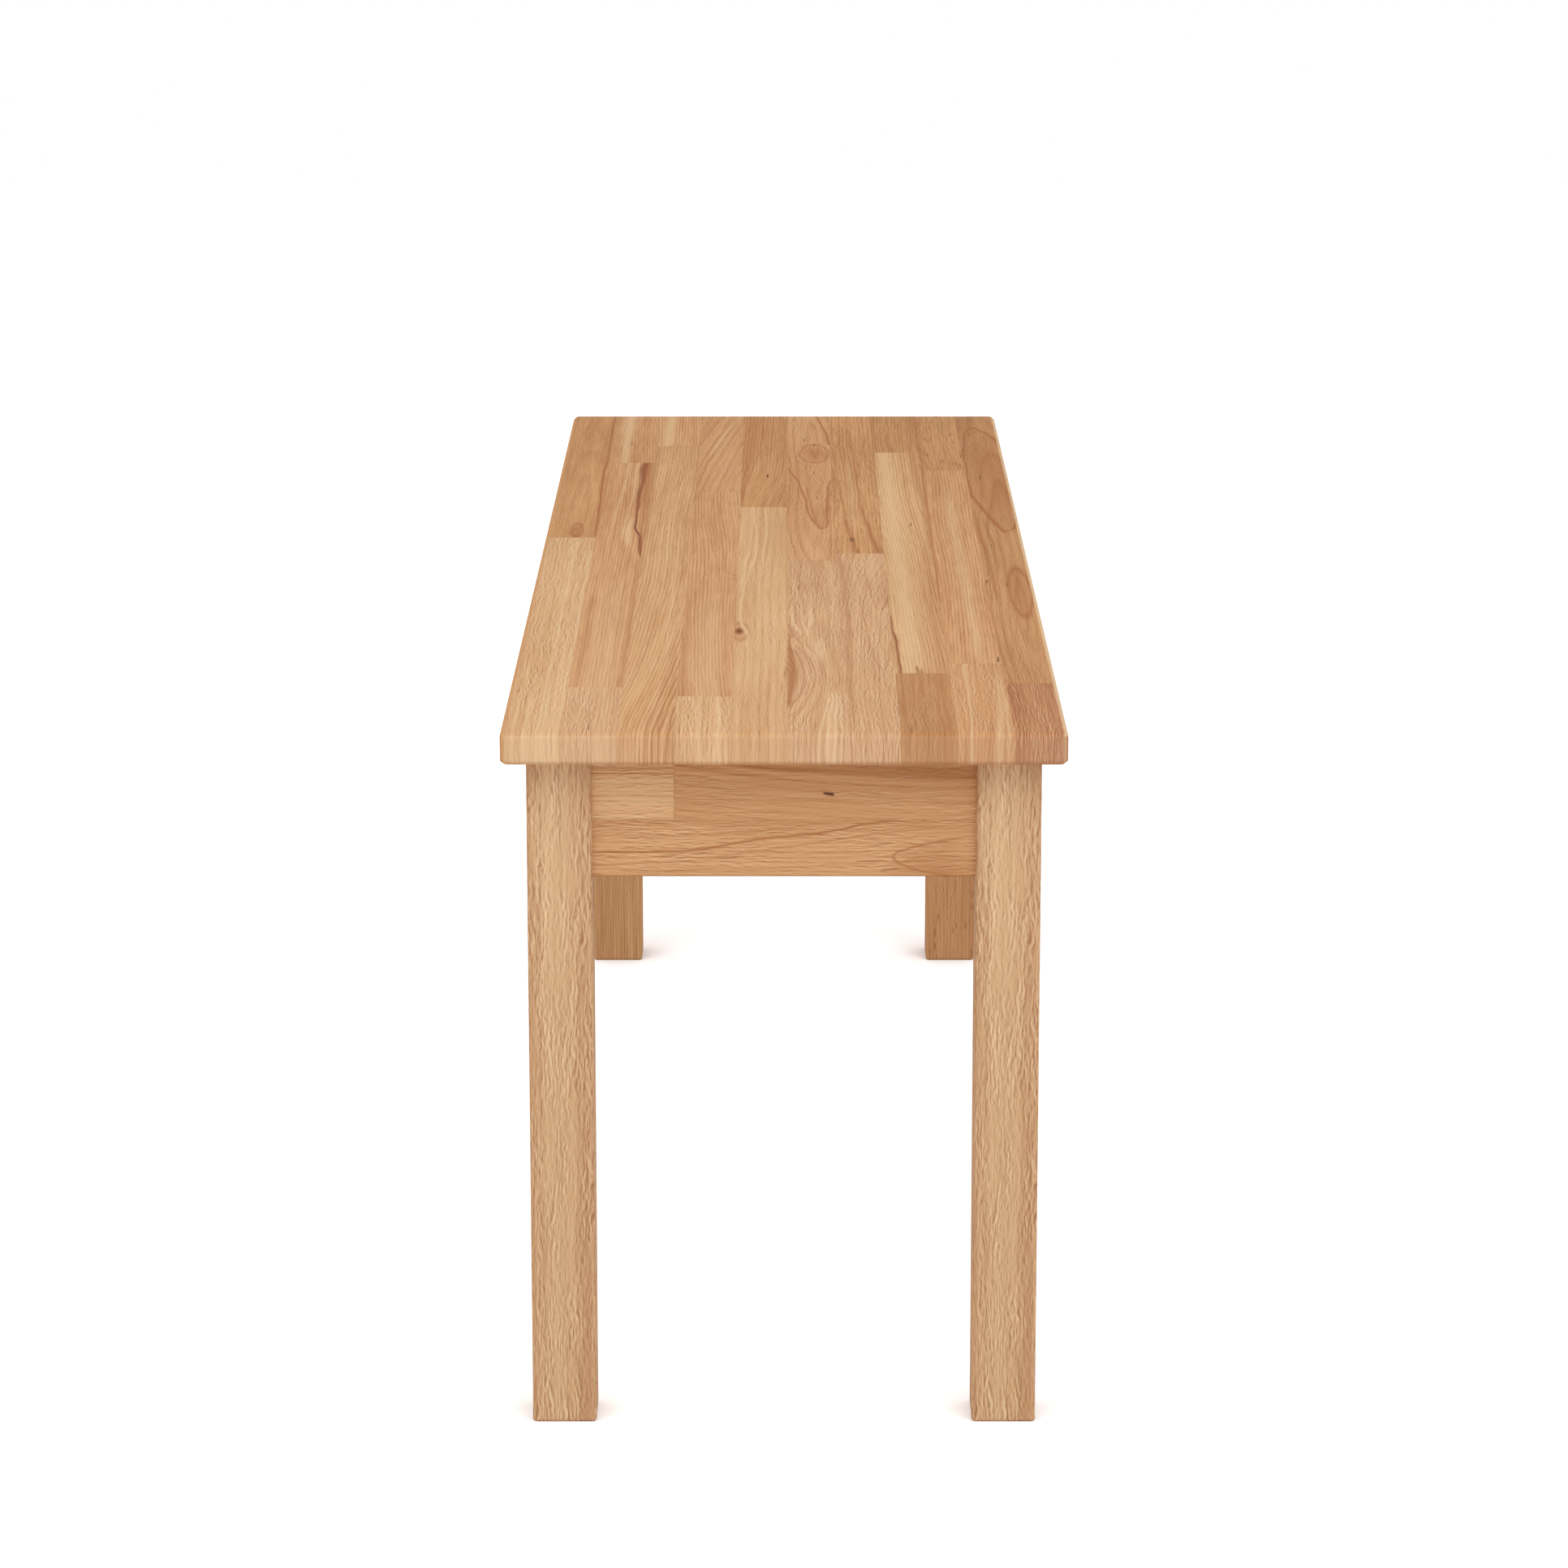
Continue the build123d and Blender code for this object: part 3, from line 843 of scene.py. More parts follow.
class Timber:
    """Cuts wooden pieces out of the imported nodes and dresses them."""

    flat = math.radians(0.5)
    arris_angle = math.radians(20)
    margin = 3.6 * MM

    def __init__(self, tools: GrainTools, beech: OiledBeech) -> None:
        """Keeps the tools.

        Args:
            tools: The shared node groups.
            beech: The finish.
        """
        self.tools = tools
        self.beech = beech

    @staticmethod
    def solids(node: str) -> list[list[tuple[Triple, Triple, Triple]]]:
        """Parts a node into its closed solids.

        The node's triangles come solid by solid, so a solid is whole once each of its edges has met its opposite.

        Args:
            node: The node's name.

        Returns:
            For each solid, its triangles as points in metres.
        """
        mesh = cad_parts[node].data
        found, triangles, unmet = [], [], set()
        for polygon in mesh.polygons:
            corners = [tuple(round(c, 7) for c in mesh.vertices[v].co) for v in polygon.vertices]
            for edge in zip(corners, corners[1:] + corners[:1]):
                if edge[::-1] in unmet:
                    unmet.remove(edge[::-1])
                else:
                    unmet.add(edge)
            triangles.append(tuple(corners))
            if not unmet:
                found.append(triangles)
                triangles = []
        if triangles:
            raise ValueError(f"{node} has a solid that isn't closed")
        return found

    @staticmethod
    def body(name: str, triangles: list, outside: Vector, arris: float) -> bpy.types.Object:
        """Makes one clean piece from a solid's triangles, with its outer arrises eased.

        Args:
            name: The piece's name.
            triangles: The solid's triangles.
            outside: Half the size of the whole board about the frame's Z axis, in metres, for telling which
                faces show.
            arris: How far the arrises are eased, in mm.

        Returns:
            The object, in the scene.
        """
        form = bmesh.new()
        points = {}
        for triangle in triangles:
            corners = []
            for corner in triangle:
                if corner not in points:
                    points[corner] = form.verts.new(corner)
                corners.append(points[corner])
            form.faces.new(corners)
        form.normal_update()
        bmesh.ops.dissolve_limit(form, angle_limit=Timber.flat, verts=form.verts[:], edges=form.edges[:])
        form.normal_update()
        outer = [edge for edge in form.edges if Timber._eased(edge, outside)]
        if outer and arris:
            bmesh.ops.bevel(form, geom=outer, offset=arris * MM, segments=3, profile=0.5, affect="EDGES")
            for vertex in form.verts:
                vertex.co.x = max(-outside.x, min(outside.x, vertex.co.x))
                vertex.co.y = max(-outside.y, min(outside.y, vertex.co.y))
        bmesh.ops.triangulate(form, faces=[face for face in form.faces if len(face.verts) > 4])
        mesh = bpy.data.meshes.new(name)
        form.to_mesh(mesh)
        form.free()
        return shown(name, mesh)

    @staticmethod
    def _eased(edge: bmesh.types.BMEdge, outside: Vector) -> bool:
        """Says whether an edge is a convex arris between two outer faces that doesn't end at a finger joint.

        Args:
            edge: The edge.
            outside: The board's half size.

        Returns:
            Whether it is eased.
        """
        if len(edge.link_faces) != 2 or edge.calc_face_angle(0.0) < Timber.arris_angle:
            return False
        if edge.calc_face_angle_signed(0.0) < 0:
            return False
        first, last = (vertex.co for vertex in edge.verts)
        runs_along = abs(last.y - first.y) > abs(last.x - first.x)
        if runs_along and min(abs(first.y), abs(last.y)) < outside.y - 3 * Timber.margin:
            return False
        for face in edge.link_faces:
            middle, normal = face.calc_center_median(), face.normal
            sideways = abs(normal.x) > 0.3 and abs(middle.x) > outside.x - Timber.margin
            endways = abs(normal.y) > 0.3 and abs(middle.y) > outside.y - Timber.margin
            if not (abs(normal.z) > 0.99 or sideways or endways):
                return False
        return True

    @staticmethod
    def write_place(piece: bpy.types.Object, rule: Callable[[Vector, Vector], Triple]) -> None:
        """Writes each corner's place on its board as the piece's own map.

        Args:
            piece: The piece.
            rule: Gives a point's place, from the point in mm and its face's normal.
        """
        mesh = piece.data
        places = mesh.attributes.new(PLACE_NAME, "FLOAT_VECTOR", "CORNER")
        values = []
        for polygon in mesh.polygons:
            for vertex in polygon.vertices:
                values.extend(rule(mesh.vertices[vertex].co / MM, polygon.normal))
        places.data.foreach_set("vector", values)

    @staticmethod
    def finish(piece: bpy.types.Object, material: bpy.types.Material, node: str, slot: str) -> None:
        """Gives a piece its finish and lets it stand for its node.

        Args:
            piece: The piece.
            material: Its material.
            node: The node that it stands for.
            slot: Not used.
        """
        piece.data.materials.append(material)
        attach(piece, BODY)
        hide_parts(node)
        log.info("%s: %d faces", piece.name, len(piece.data.polygons))


def middle_of(triangles: list) -> Vector:
    """Gives the middle of a solid's box.

    Args:
        triangles: The solid's triangles.

    Returns:
        The point, in metres.
    """
    corners = [corner for triangle in triangles for corner in triangle]
    low = Vector([min(c[axis] for c in corners) for axis in range(3)])
    high = Vector([max(c[axis] for c in corners) for axis in range(3)])
    return (low + high) / 2


# The looks of the seat's lamellas, stave by stave from the left, each from the front end
SEAT_LOOKS = (
    (
        Look(Tone.BLOND, Cut.WAVY, 1.3, marks=(
            Streak(CREAM, 0.35, ((-151, -640, 1.4), (-150.5, -200, 1.2), (-150, 50, 1.4))),
            Streak(CREAM, 0.35, ((-139.2, -640, 1.5), (-138.3, -350, 1.2), (-139, 0, 1.2))),
            Streak(CREAM, 0.4, ((-147, -640, 2.0), (-148.5, -500, 1.4)), 60),
            Streak(CREAM, 0.3, ((-143.5, -640, 1.0), (-144, -300, 0.9)), 60),
            Streak(CREAM, 0.35, ((-160, -640, 1.8), (-158, -520, 1.2)), 60),
            Streak(CREAM, 0.3, ((-166, -640, 1.2), (-164, -420, 1.0)), 60),
            Streak(RED, 0.2, ((-172.5, -640, 1.8), (-172, 50, 1.8))),
            Streak(CREAM, 0.3, ((-155, -640, 30), (-155, -603, 30)), 2),
        )),
        Look(Tone.CARAMEL, Cut.PLAIN, 2.7, pith=-152.0, depth=14.0, slope=0.02, marks=(
            Oval(RED, (-151.8, 80), (4.2, 26), 1.0, 0.6, 0.25),
            Oval(RED, (-152.6, 72), (1.6, 16), 0.7, 0.6),
            Streak(RED, 0.85, (
                (-137.9, 52, 1.0), (-137.6, 90, 1.0), (-139.4, 283, 1.1), (-139.2, 400, 1.2), (-139.3, 500, 1.1),
                (-139.5, 600, 1.3),
            )),
            Streak(RED, 0.3, ((-142, 380, 1.6), (-143, 470, 2.2), (-149, 520, 2.0)), 20),
        )),
    ),
    (
        Look(Tone.ROSE, Cut.WAVY, 3.1, marks=(
            Streak(CREAM, 0.17, ((-119, -640, 30), (-119, -603, 30)), 2),
            Streak(INK, 0.8, ((-119.5, -587, 0.4), (-119.5, -577, 0.35))),
        )),
        Look(Tone.HONEY, Cut.RIFT, 4.9, marks=(
            Streak(CREAM, 0.22, ((-117, -465, 12.0), (-117, -200, 12.0)), 150),
            Streak(RED, 0.35, ((-132, -465, 1.6), (-131, -320, 2.4), (-131.5, -180, 2.0)), 40),
            Streak(RED, 0.35, ((-104, -465, 1.6), (-103.2, -40, 1.4)), 30),
            Streak(CREAM, 0.35, ((-127, 60, 0.9), (-123.5, 200, 1.0), (-120.5, 371, 1.0)), 40),
            Streak(CREAM, 0.35, ((-118, 60, 0.9), (-115.0, 220, 1.0), (-114.4, 371, 1.2)), 40),
            Streak(CREAM, 0.5, ((-113.5, 40, 2.0), (-114.5, 75, 3.0), (-113, 110, 1.6)), 30),
            Streak(RED, 0.5, (
                (-103.0, 30, 1.4), (-104.8, 100, 1.6), (-105.2, 200, 2.6), (-105.0, 300, 3.0), (-105, 371, 3.0),
            ), 20),
            Streak(HEART, 0.9, (
                (-102.6, -22, 0.6), (-104.3, 22, 1.6), (-104.8, 55, 1.0), (-109.2, 92, 0.8), (-109.4, 125, 0.8),
                (-109.9, 208, 1.7), (-109.2, 283, 1.8), (-108.4, 371, 3.2),
            )),
            Streak(INK, 0.6, ((-104.8, 34, 0.5), (-106.4, 62, 0.5), (-109.4, 91, 0.6), (-109.6, 130, 0.4)), 10),
            Streak(INK, 0.4, ((-111.2, 210, 0.4), (-110.9, 283, 0.5), (-111.6, 330, 0.5)), 30),
        )),
        Look(Tone.HONEY, Cut.RIFT, 5.2, marks=(
            Streak(CREAM, 0.45, ((-125.5, 371, 3.6), (-126.0, 480, 4.6), (-126.3, 600, 6.0))),
            Streak(INK, 0.5, ((-121.9, 456, 0.5), (-121.7, 470, 0.4))),
        )),
    ),
    (
        Look(Tone.WHEAT, Cut.RIFT, 6.6, lean=0.012, swells=(Swell((-84, -640), (70, 190), -19.0),), marks=(
            Streak(CREAM, 0.25, ((-85, -200, 0.9), (-84, 200, 0.9)), 60),
            Streak(CREAM, 0.25, ((-77, -350, 0.8), (-76, 100, 0.9)), 60),
            Streak(RED, 0.7, ((-81, -640, 0.6), (-79.5, -590, 0.6), (-69, -440, 0.5)), 20),
            Streak(RED, 0.75, ((-77, -640, 0.7), (-76, -590, 0.7), (-68.5, -480, 0.5)), 15),
            Streak(RED, 0.7, ((-73, -640, 0.7), (-68, -530, 0.6)), 10),
            Streak(RED, 0.55, ((-86, -640, 0.6), (-84.5, -590, 0.6), (-70, -380, 0.5)), 30),
            Streak(RED, 0.3, ((-101, 20, 2.0), (-101, 449, 3.0)), 80),
        )),
        Look(Tone.HONEY, Cut.RIFT, 7.7, marks=(Streak(CREAM, 0.45, ((-93, 450, 4.0), (-92, 600, 4.0))),)),
    ),
    (
        Look(Tone.BLOND, Cut.WAVY, 8.4, marks=(
            Streak(CREAM, 0.5, ((-40, -640, 0.9), (-41, -492, 0.9))),
            Streak(CREAM, 0.35, ((-52, -640, 0.8), (-53, -492, 0.8))),
        )),
        Look(Tone.HONEY, Cut.RIFT, 9.2, lean=-0.012, marks=(
            Streak(CREAM, 0.22, ((-50, -492, 12.0), (-50, -250, 12.0)), 150),
            Streak(RED, 0.7, ((-32.2, -96, 0.8), (-39.6, -84, 0.6)), 2),
            Streak(RED, 0.55, ((-32.4, -110, 0.8), (-39.4, -100, 0.6)), 2),
            Streak(RED, 0.25, ((-64, -492, 2.0), (-65, -150, 2.0)), 60),
        )),
        Look(Tone.HONEY, Cut.FLAT, 10.3, lean=0.05, swells=(Swell((-50, 640), (60, 200), 12.0),), marks=(
            Streak(RED, 0.45, ((-66, 460, 0.8), (-50, 600, 0.8)), 20),
            Streak(RED, 0.4, ((-62, 410, 0.8), (-41, 600, 0.8)), 20),
            Streak(RED, 0.4, ((-66, 510, 0.8), (-58, 600, 0.8)), 10),
            Streak(CREAM, 0.35, ((-58, 420, 0.8), (-36, 600, 0.8)), 20),
            Streak(RED, 0.3, ((-50, 420, 0.8), (-33, 560, 0.8)), 20),
        )),
    ),
    (
        Look(Tone.BLOND, Cut.PLAIN, 11.8, lean=0.006, swells=(Swell((-30, -289), (9, 22), 3.8),), marks=(
            Oval(RED, (-29.0, -289), (5.0, 28), 1.1, 0.45, 0.2),
            Oval(HEART, (-29.8, -288), (2.3, 9), 0.9, 0.6, 0.95),
            Oval(INK, (-29.9, -287), (1.2, 5), 0.6, 0.2, 0.45),
            Streak(CREAM, 0.45, (
                (-25.1, -289, 0.8), (-28.2, -266, 0.9), (-30.4, -214, 0.8), (-27.2, -131, 0.8), (-24, -70, 0.9),
                (-20.7, -30, 0.9), (-20.6, 11, 0.8), (-20.0, 72, 0.8), (-22.5, 175, 0.8),
            ), 20),
            Streak(CREAM, 0.35, ((-29.5, -120, 1.2), (-26.5, -40, 1.3), (-24.5, 20, 1.0)), 40),
            Streak(CREAM, 0.4, ((-24.5, -330, 0.9), (-24.3, -290, 1.0), (-27.5, -262, 0.8)), 20),
            Streak(CREAM, 0.35, ((-15, -60, 0.8), (-13, 60, 1.0), (-14, 175, 0.8)), 40),
            Streak(RED, 0.6, ((0.8, -427, 1.1), (1.2, -405, 0.6)), 10),
        )),
        Look(Tone.CARAMEL, Cut.RIFT, 12.6, swells=(Swell((-20, 150), (60, 130), -15.0),), marks=(
            Streak(RED, 0.5, (
                (-32.6, 176, 0.8), (-31.2, 269, 1.8), (-29, 339, 3.4), (-26.8, 411, 5.2), (-25.2, 486, 7.0),
                (-25.4, 600, 7.4),
            ), 20),
            Streak(RED, 0.55, (
                (-32.2, 201, 0.6), (-29.1, 269, 0.6), (-24.7, 339, 0.7), (-20.2, 411, 0.8), (-17.2, 486, 0.8),
                (-16.8, 600, 0.8),
            )),
            Streak(INK, 0.95, ((-12.7, 305, 0.7), (-12.7, 317, 0.7)), 2),
        )),
    ),
    (
        Look(Tone.ROSE, Cut.WAVY, 13.5, swells=(Swell((2, -440), (24, 62), 11.0),), marks=(
            Streak(RED, 0.75, (
                (3.2, -512, 1.2), (5, -470, 3.2), (5.5, -415, 3.8), (5, -380, 3.0), (3.6, -335, 1.2),
            ), 25),
            Oval(RED, (2, -430), (11, 84), 0.7, 0.4),
            Oval(RED, (1, -425), (15.5, 125), 0.6, 0.25),
            Streak(RED, 0.35, (
                (3, -575, 0.7), (11, -528, 0.7), (18, -478, 0.7), (20, -430, 0.7), (17, -380, 0.7), (8, -338, 0.7),
            ), 8),
            Streak(RED, 0.3, (
                (8, -590, 0.7), (17, -535, 0.7), (24, -480, 0.7), (26, -430, 0.7), (23, -370, 0.7), (14, -322, 0.7),
            ), 8),
            Streak(RED, 0.5, ((3.0, -320, 0.8), (6, -300, 2.0), (4, -270, 1.0)), 15),
            Streak(RED, 0.35, ((9, -312, 0.7), (14, -302, 0.8)), 8),
            Streak(CREAM, 0.6, ((11, -292, 0.8), (6.5, -262, 0.8), (4.5, -225, 0.7)), 15),
            Streak(CREAM, 0.5, ((16, -296, 0.8), (12.5, -262, 0.8), (11.5, -220, 0.7)), 15),
            Streak(CREAM, 0.35, ((23, -372, 3.0), (22.5, -350, 4.5), (22, -325, 2.5)), 20),
            Streak(CREAM, 0.5, ((18, -264, 1.2), (18.4, -218, 0.7)), 15),
            Streak(CREAM, 0.5, ((21.0, -640, 1.0), (21.5, -600, 1.0), (28.5, -505, 0.7)), 20),
            Streak(CREAM, 0.6, ((26.0, -640, 1.2), (26.5, -600, 1.2), (31, -495, 0.8)), 20),
            Streak(CREAM, 0.65, ((30.8, -640, 1.4), (31, -600, 1.4), (33.4, -490, 0.8)), 20),
            Streak(CREAM, 0.45, ((34.8, -640, 0.8), (35, -600, 0.8), (35.6, -490, 0.6)), 20),
            Streak(INK, 0.55, ((9.6, -141, 0.35), (10.4, -127, 0.35))),
            Streak(INK, 0.5, ((20, -224, 0.35), (20.6, -213, 0.35))),
        )),
        Look(Tone.HONEY, Cut.FLAT, 14.1, pith=24.0, depth=14.7, slope=-0.035, marks=(
            Arch(RED, (27, 82), 8.0, 108.0, 0.9, 0.0, 0.25),
            Streak(RED, 0.75, (
                (26, 88, 1.5), (21.3, 123, 1.4), (18.3, 162, 1.2), (14.6, 228, 1.1), (11.1, 283, 0.9), (3.4, 346, 0.8),
            )),
            Streak(RED, 0.8, (
                (27, 86, 1.4), (31, 94, 1.5), (32.4, 123, 1.5), (32.2, 162, 1.8), (33.4, 242, 1.5), (35.6, 290, 1.0),
            )),
            Streak(RED, 0.45, ((24, 120, 0.8), (20.5, 190, 0.9), (17, 250, 0.8)), 15),
            Oval(RED, (24, 414), (11.3, 43), 0.9, 0.6, 0.35),
            Oval(RED, (27, 400), (7, 24), 0.8, 0.2, 0.1),
            Streak(RED, 0.45, ((22, 350, 0.7), (12, 372, 0.7), (8, 395, 0.7)), 10),
            Streak(RED, 0.85, ((35.6, 460, 1.2), (35.0, 501, 1.4), (31, 545, 1.0), (26, 600, 1.0)), 10),
            Streak(INK, 0.75, ((24.0, 448, 0.5), (24.3, 460, 0.5))),
            Streak(INK, 0.6, ((16, 472, 0.5), (16, 484, 0.5))),
            Streak(INK, 0.65, ((23.4, 319, 0.5), (23.4, 331, 0.5))),
            Streak(INK, 0.5, ((25.1, 210, 0.4), (25.1, 220, 0.4))),
        )),
    ),
    (
        Look(Tone.ROSE, Cut.WAVY, 15.9, pith=80.0, depth=30.0, slope=0.06, marks=(
            Streak(RED, 0.35, ((42.6, -544, 1.8), (42.3, -392, 2.0), (43.0, -226, 1.8), (40.8, -43, 1.6)), 40),
            Arch(RED, (64, -410), 12.0, 250.0, 0.8, 0.4),
            Arch(RED, (66, -215), 8.0, 110.0, 0.8, 0.4, 0.1),
        )),
        Look(Tone.CARAMEL, Cut.STREAKED, 16.4, marks=(
            Streak(RED, 0.65, ((53, -11, 1.6), (49.0, 41, 1.4), (45.4, 123, 1.0), (43.0, 228, 0.8)), 60),
            Streak(RED, 0.7, ((68, -11, 4.0), (66, 20, 2.6), (62, 80, 1.6), (58.5, 160, 1.0)), 40),
            Streak(RED, 0.4, ((57, 200, 0.8), (55, 420, 0.8)), 60),
            Oval(INK, (49.3, 43), (1.5, 6), 0.5, 0.6, 0.3),
            Streak(CREAM, 0.2, ((52, 120, 1.8), (50, 350, 2.2)), 80),
        )),
    ),
    (
        Look(Tone.AMBER, Cut.PLAIN, 17.2, marks=(
            Streak(RED, 0.3, ((100, -640, 2.2), (101, -423, 2.2))),
            Streak(INK, 0.5, ((78, -595, 0.4), (78, -582, 0.4))),
        )),
        Look(Tone.WHEAT, Cut.RIFT, 18.6, lean=-0.02, marks=(
            Streak(CREAM, 0.4, ((83, -423, 8.0), (82, -200, 8.0), (80, 100, 7.0), (80, 419, 5.0)), 20),
            Streak(RED, 0.25, ((102, -423, 4.0), (103, 0, 4.0)), 60),
            Streak(HEART, 0.85, (
                (74.1, -423, 1.2), (74.3, -392, 1.3), (73.4, -310, 1.4), (72.1, -280, 0.9), (71.6, -245, 0.6),
            ), 20),
            Streak(HEART, 0.65, ((86.5, -423, 1.7), (85.8, -401, 0.6))),
            Streak(HEART, 0.65, ((89, -423, 0.9), (88.8, -410, 0.4))),
            Streak(RED, 0.45, (
                (105.6, 0, 1.0), (105.0, 120, 1.8), (104.6, 200, 2.6), (103.1, 311, 3.2), (102, 419, 3.4),
            ), 60),
            Streak(INK, 0.75, ((93.3, 98, 0.5), (93.7, 110, 0.5))),
        )),
        Look(Tone.AMBER, Cut.RIFT, 19.3, marks=(Streak(RED, 0.35, ((73, 419, 1.6), (72, 600, 2.0))),)),
    ),
    (
        Look(Tone.HONEY, Cut.WAVY, 20.7, marks=(
            Streak(RED, 0.1, ((123, -640, 30), (123, -603, 30)), 2),
            Streak(CREAM, 0.35, ((131, -640, 2.8), (132, -600, 2.8), (135.5, -500, 2.2), (135.5, -430, 1.4)), 30),
            Streak(CREAM, 0.3, ((137.5, -640, 1.0), (138.5, -460, 1.0)), 30),
            Streak(CREAM, 0.4, ((115, -640, 1.0), (117, -393, 1.0)), 30),
        )),
        Look(Tone.HONEY, Cut.RIFT, 21.4, marks=(
            Streak(CREAM, 0.3, ((127, -340, 3.5), (126, -200, 4.0), (124, 200, 4.0)), 60),
            Streak(RED, 0.6, ((107.2, -160, 0.8), (107.6, 72, 1.3), (107.2, 336, 1.3)), 60),
            Streak(INK, 0.95, ((138.8, -386, 0.7), (139.2, -373, 0.5))),
        )),
        Look(Tone.AMBER, Cut.FLECKED, 22.9, marks=(
            Streak(RED, 0.4, ((108, 336, 1.2), (107.5, 600, 1.2))),
            Streak(RED, 0.45, ((114, 336, 1.0), (111, 372, 1.0), (107, 400, 1.0)), 10),
            Streak(RED, 0.35, ((118, 336, 0.8), (114, 392, 0.8), (108, 440, 0.8)), 10),
        )),
    ),
    (
        Look(Tone.RUSSET, Cut.WAVY, 23.3, marks=(
            Streak(RED, 0.12, ((157, -640, 30), (157, -603, 30)), 2),
            Streak(RED, 0.55, ((143.6, -640, 0.8), (143.8, -453, 0.8))),
            Streak(RED, 0.6, ((146.6, -640, 0.7), (147, -453, 0.7))),
            Streak(RED, 0.5, ((149.6, -640, 0.6), (150, -453, 0.6))),
        )),
        Look(Tone.AMBER, Cut.FLAT, 24.8, pith=162.0, depth=8.0, slope=0.04, marks=(
            Oval(RED, (160, 300), (21, 250), 1.0, 0.0, 0.4),
            Oval(RED, (163.2, -153), (7.4, 84), 1.2, 0.7, 0.3),
            Streak(RED, 0.9, (
                (161.3, 74, 1.7), (155.8, 110, 1.7), (148.5, 162, 1.7), (143.4, 215, 1.5), (141.8, 297, 0.9),
                (143.0, 441, 0.9), (145.5, 505, 0.9), (149.0, 529, 0.9), (154.3, 537, 0.9),
            ), 6),
            Streak(RED, 0.9, ((161.3, 74, 1.7), (168.6, 85, 1.6), (171.6, 123, 0.9), (173.6, 220, 0.9)), 4),
            Streak(RED, 0.8, ((173.5, 441, 1.6), (169, 485, 1.6), (163.6, 511, 1.7), (154.3, 536, 1.6)), 6),
            Streak(RED, 0.5, ((150, 505, 2.2), (156, 522, 2.0)), 8),
            Streak(RED, 0.4, ((162, -215, 0.8), (161, -150, 0.8), (163, -95, 0.8)), 10),
            Streak(RED, 0.5, (
                (145.8, -163, 1.2), (145.8, -95, 1.4), (145.1, -25, 1.6), (143.0, 72, 1.8), (141.4, 149, 1.4),
            ), 40),
            Streak(RED, 0.4, ((151, -60, 0.9), (151, 20, 1.0), (148, 110, 1.0)), 40),
            Streak(INK, 0.95, ((140.9, -121, 0.9), (140.9, -111, 0.8)), 2),
            Streak(INK, 0.6, ((155, -128, 0.4), (155, -122, 0.4))),
            Streak(INK, 0.7, ((151.6, 298, 0.5), (151.6, 309, 0.5))),
        )),
    ),
)

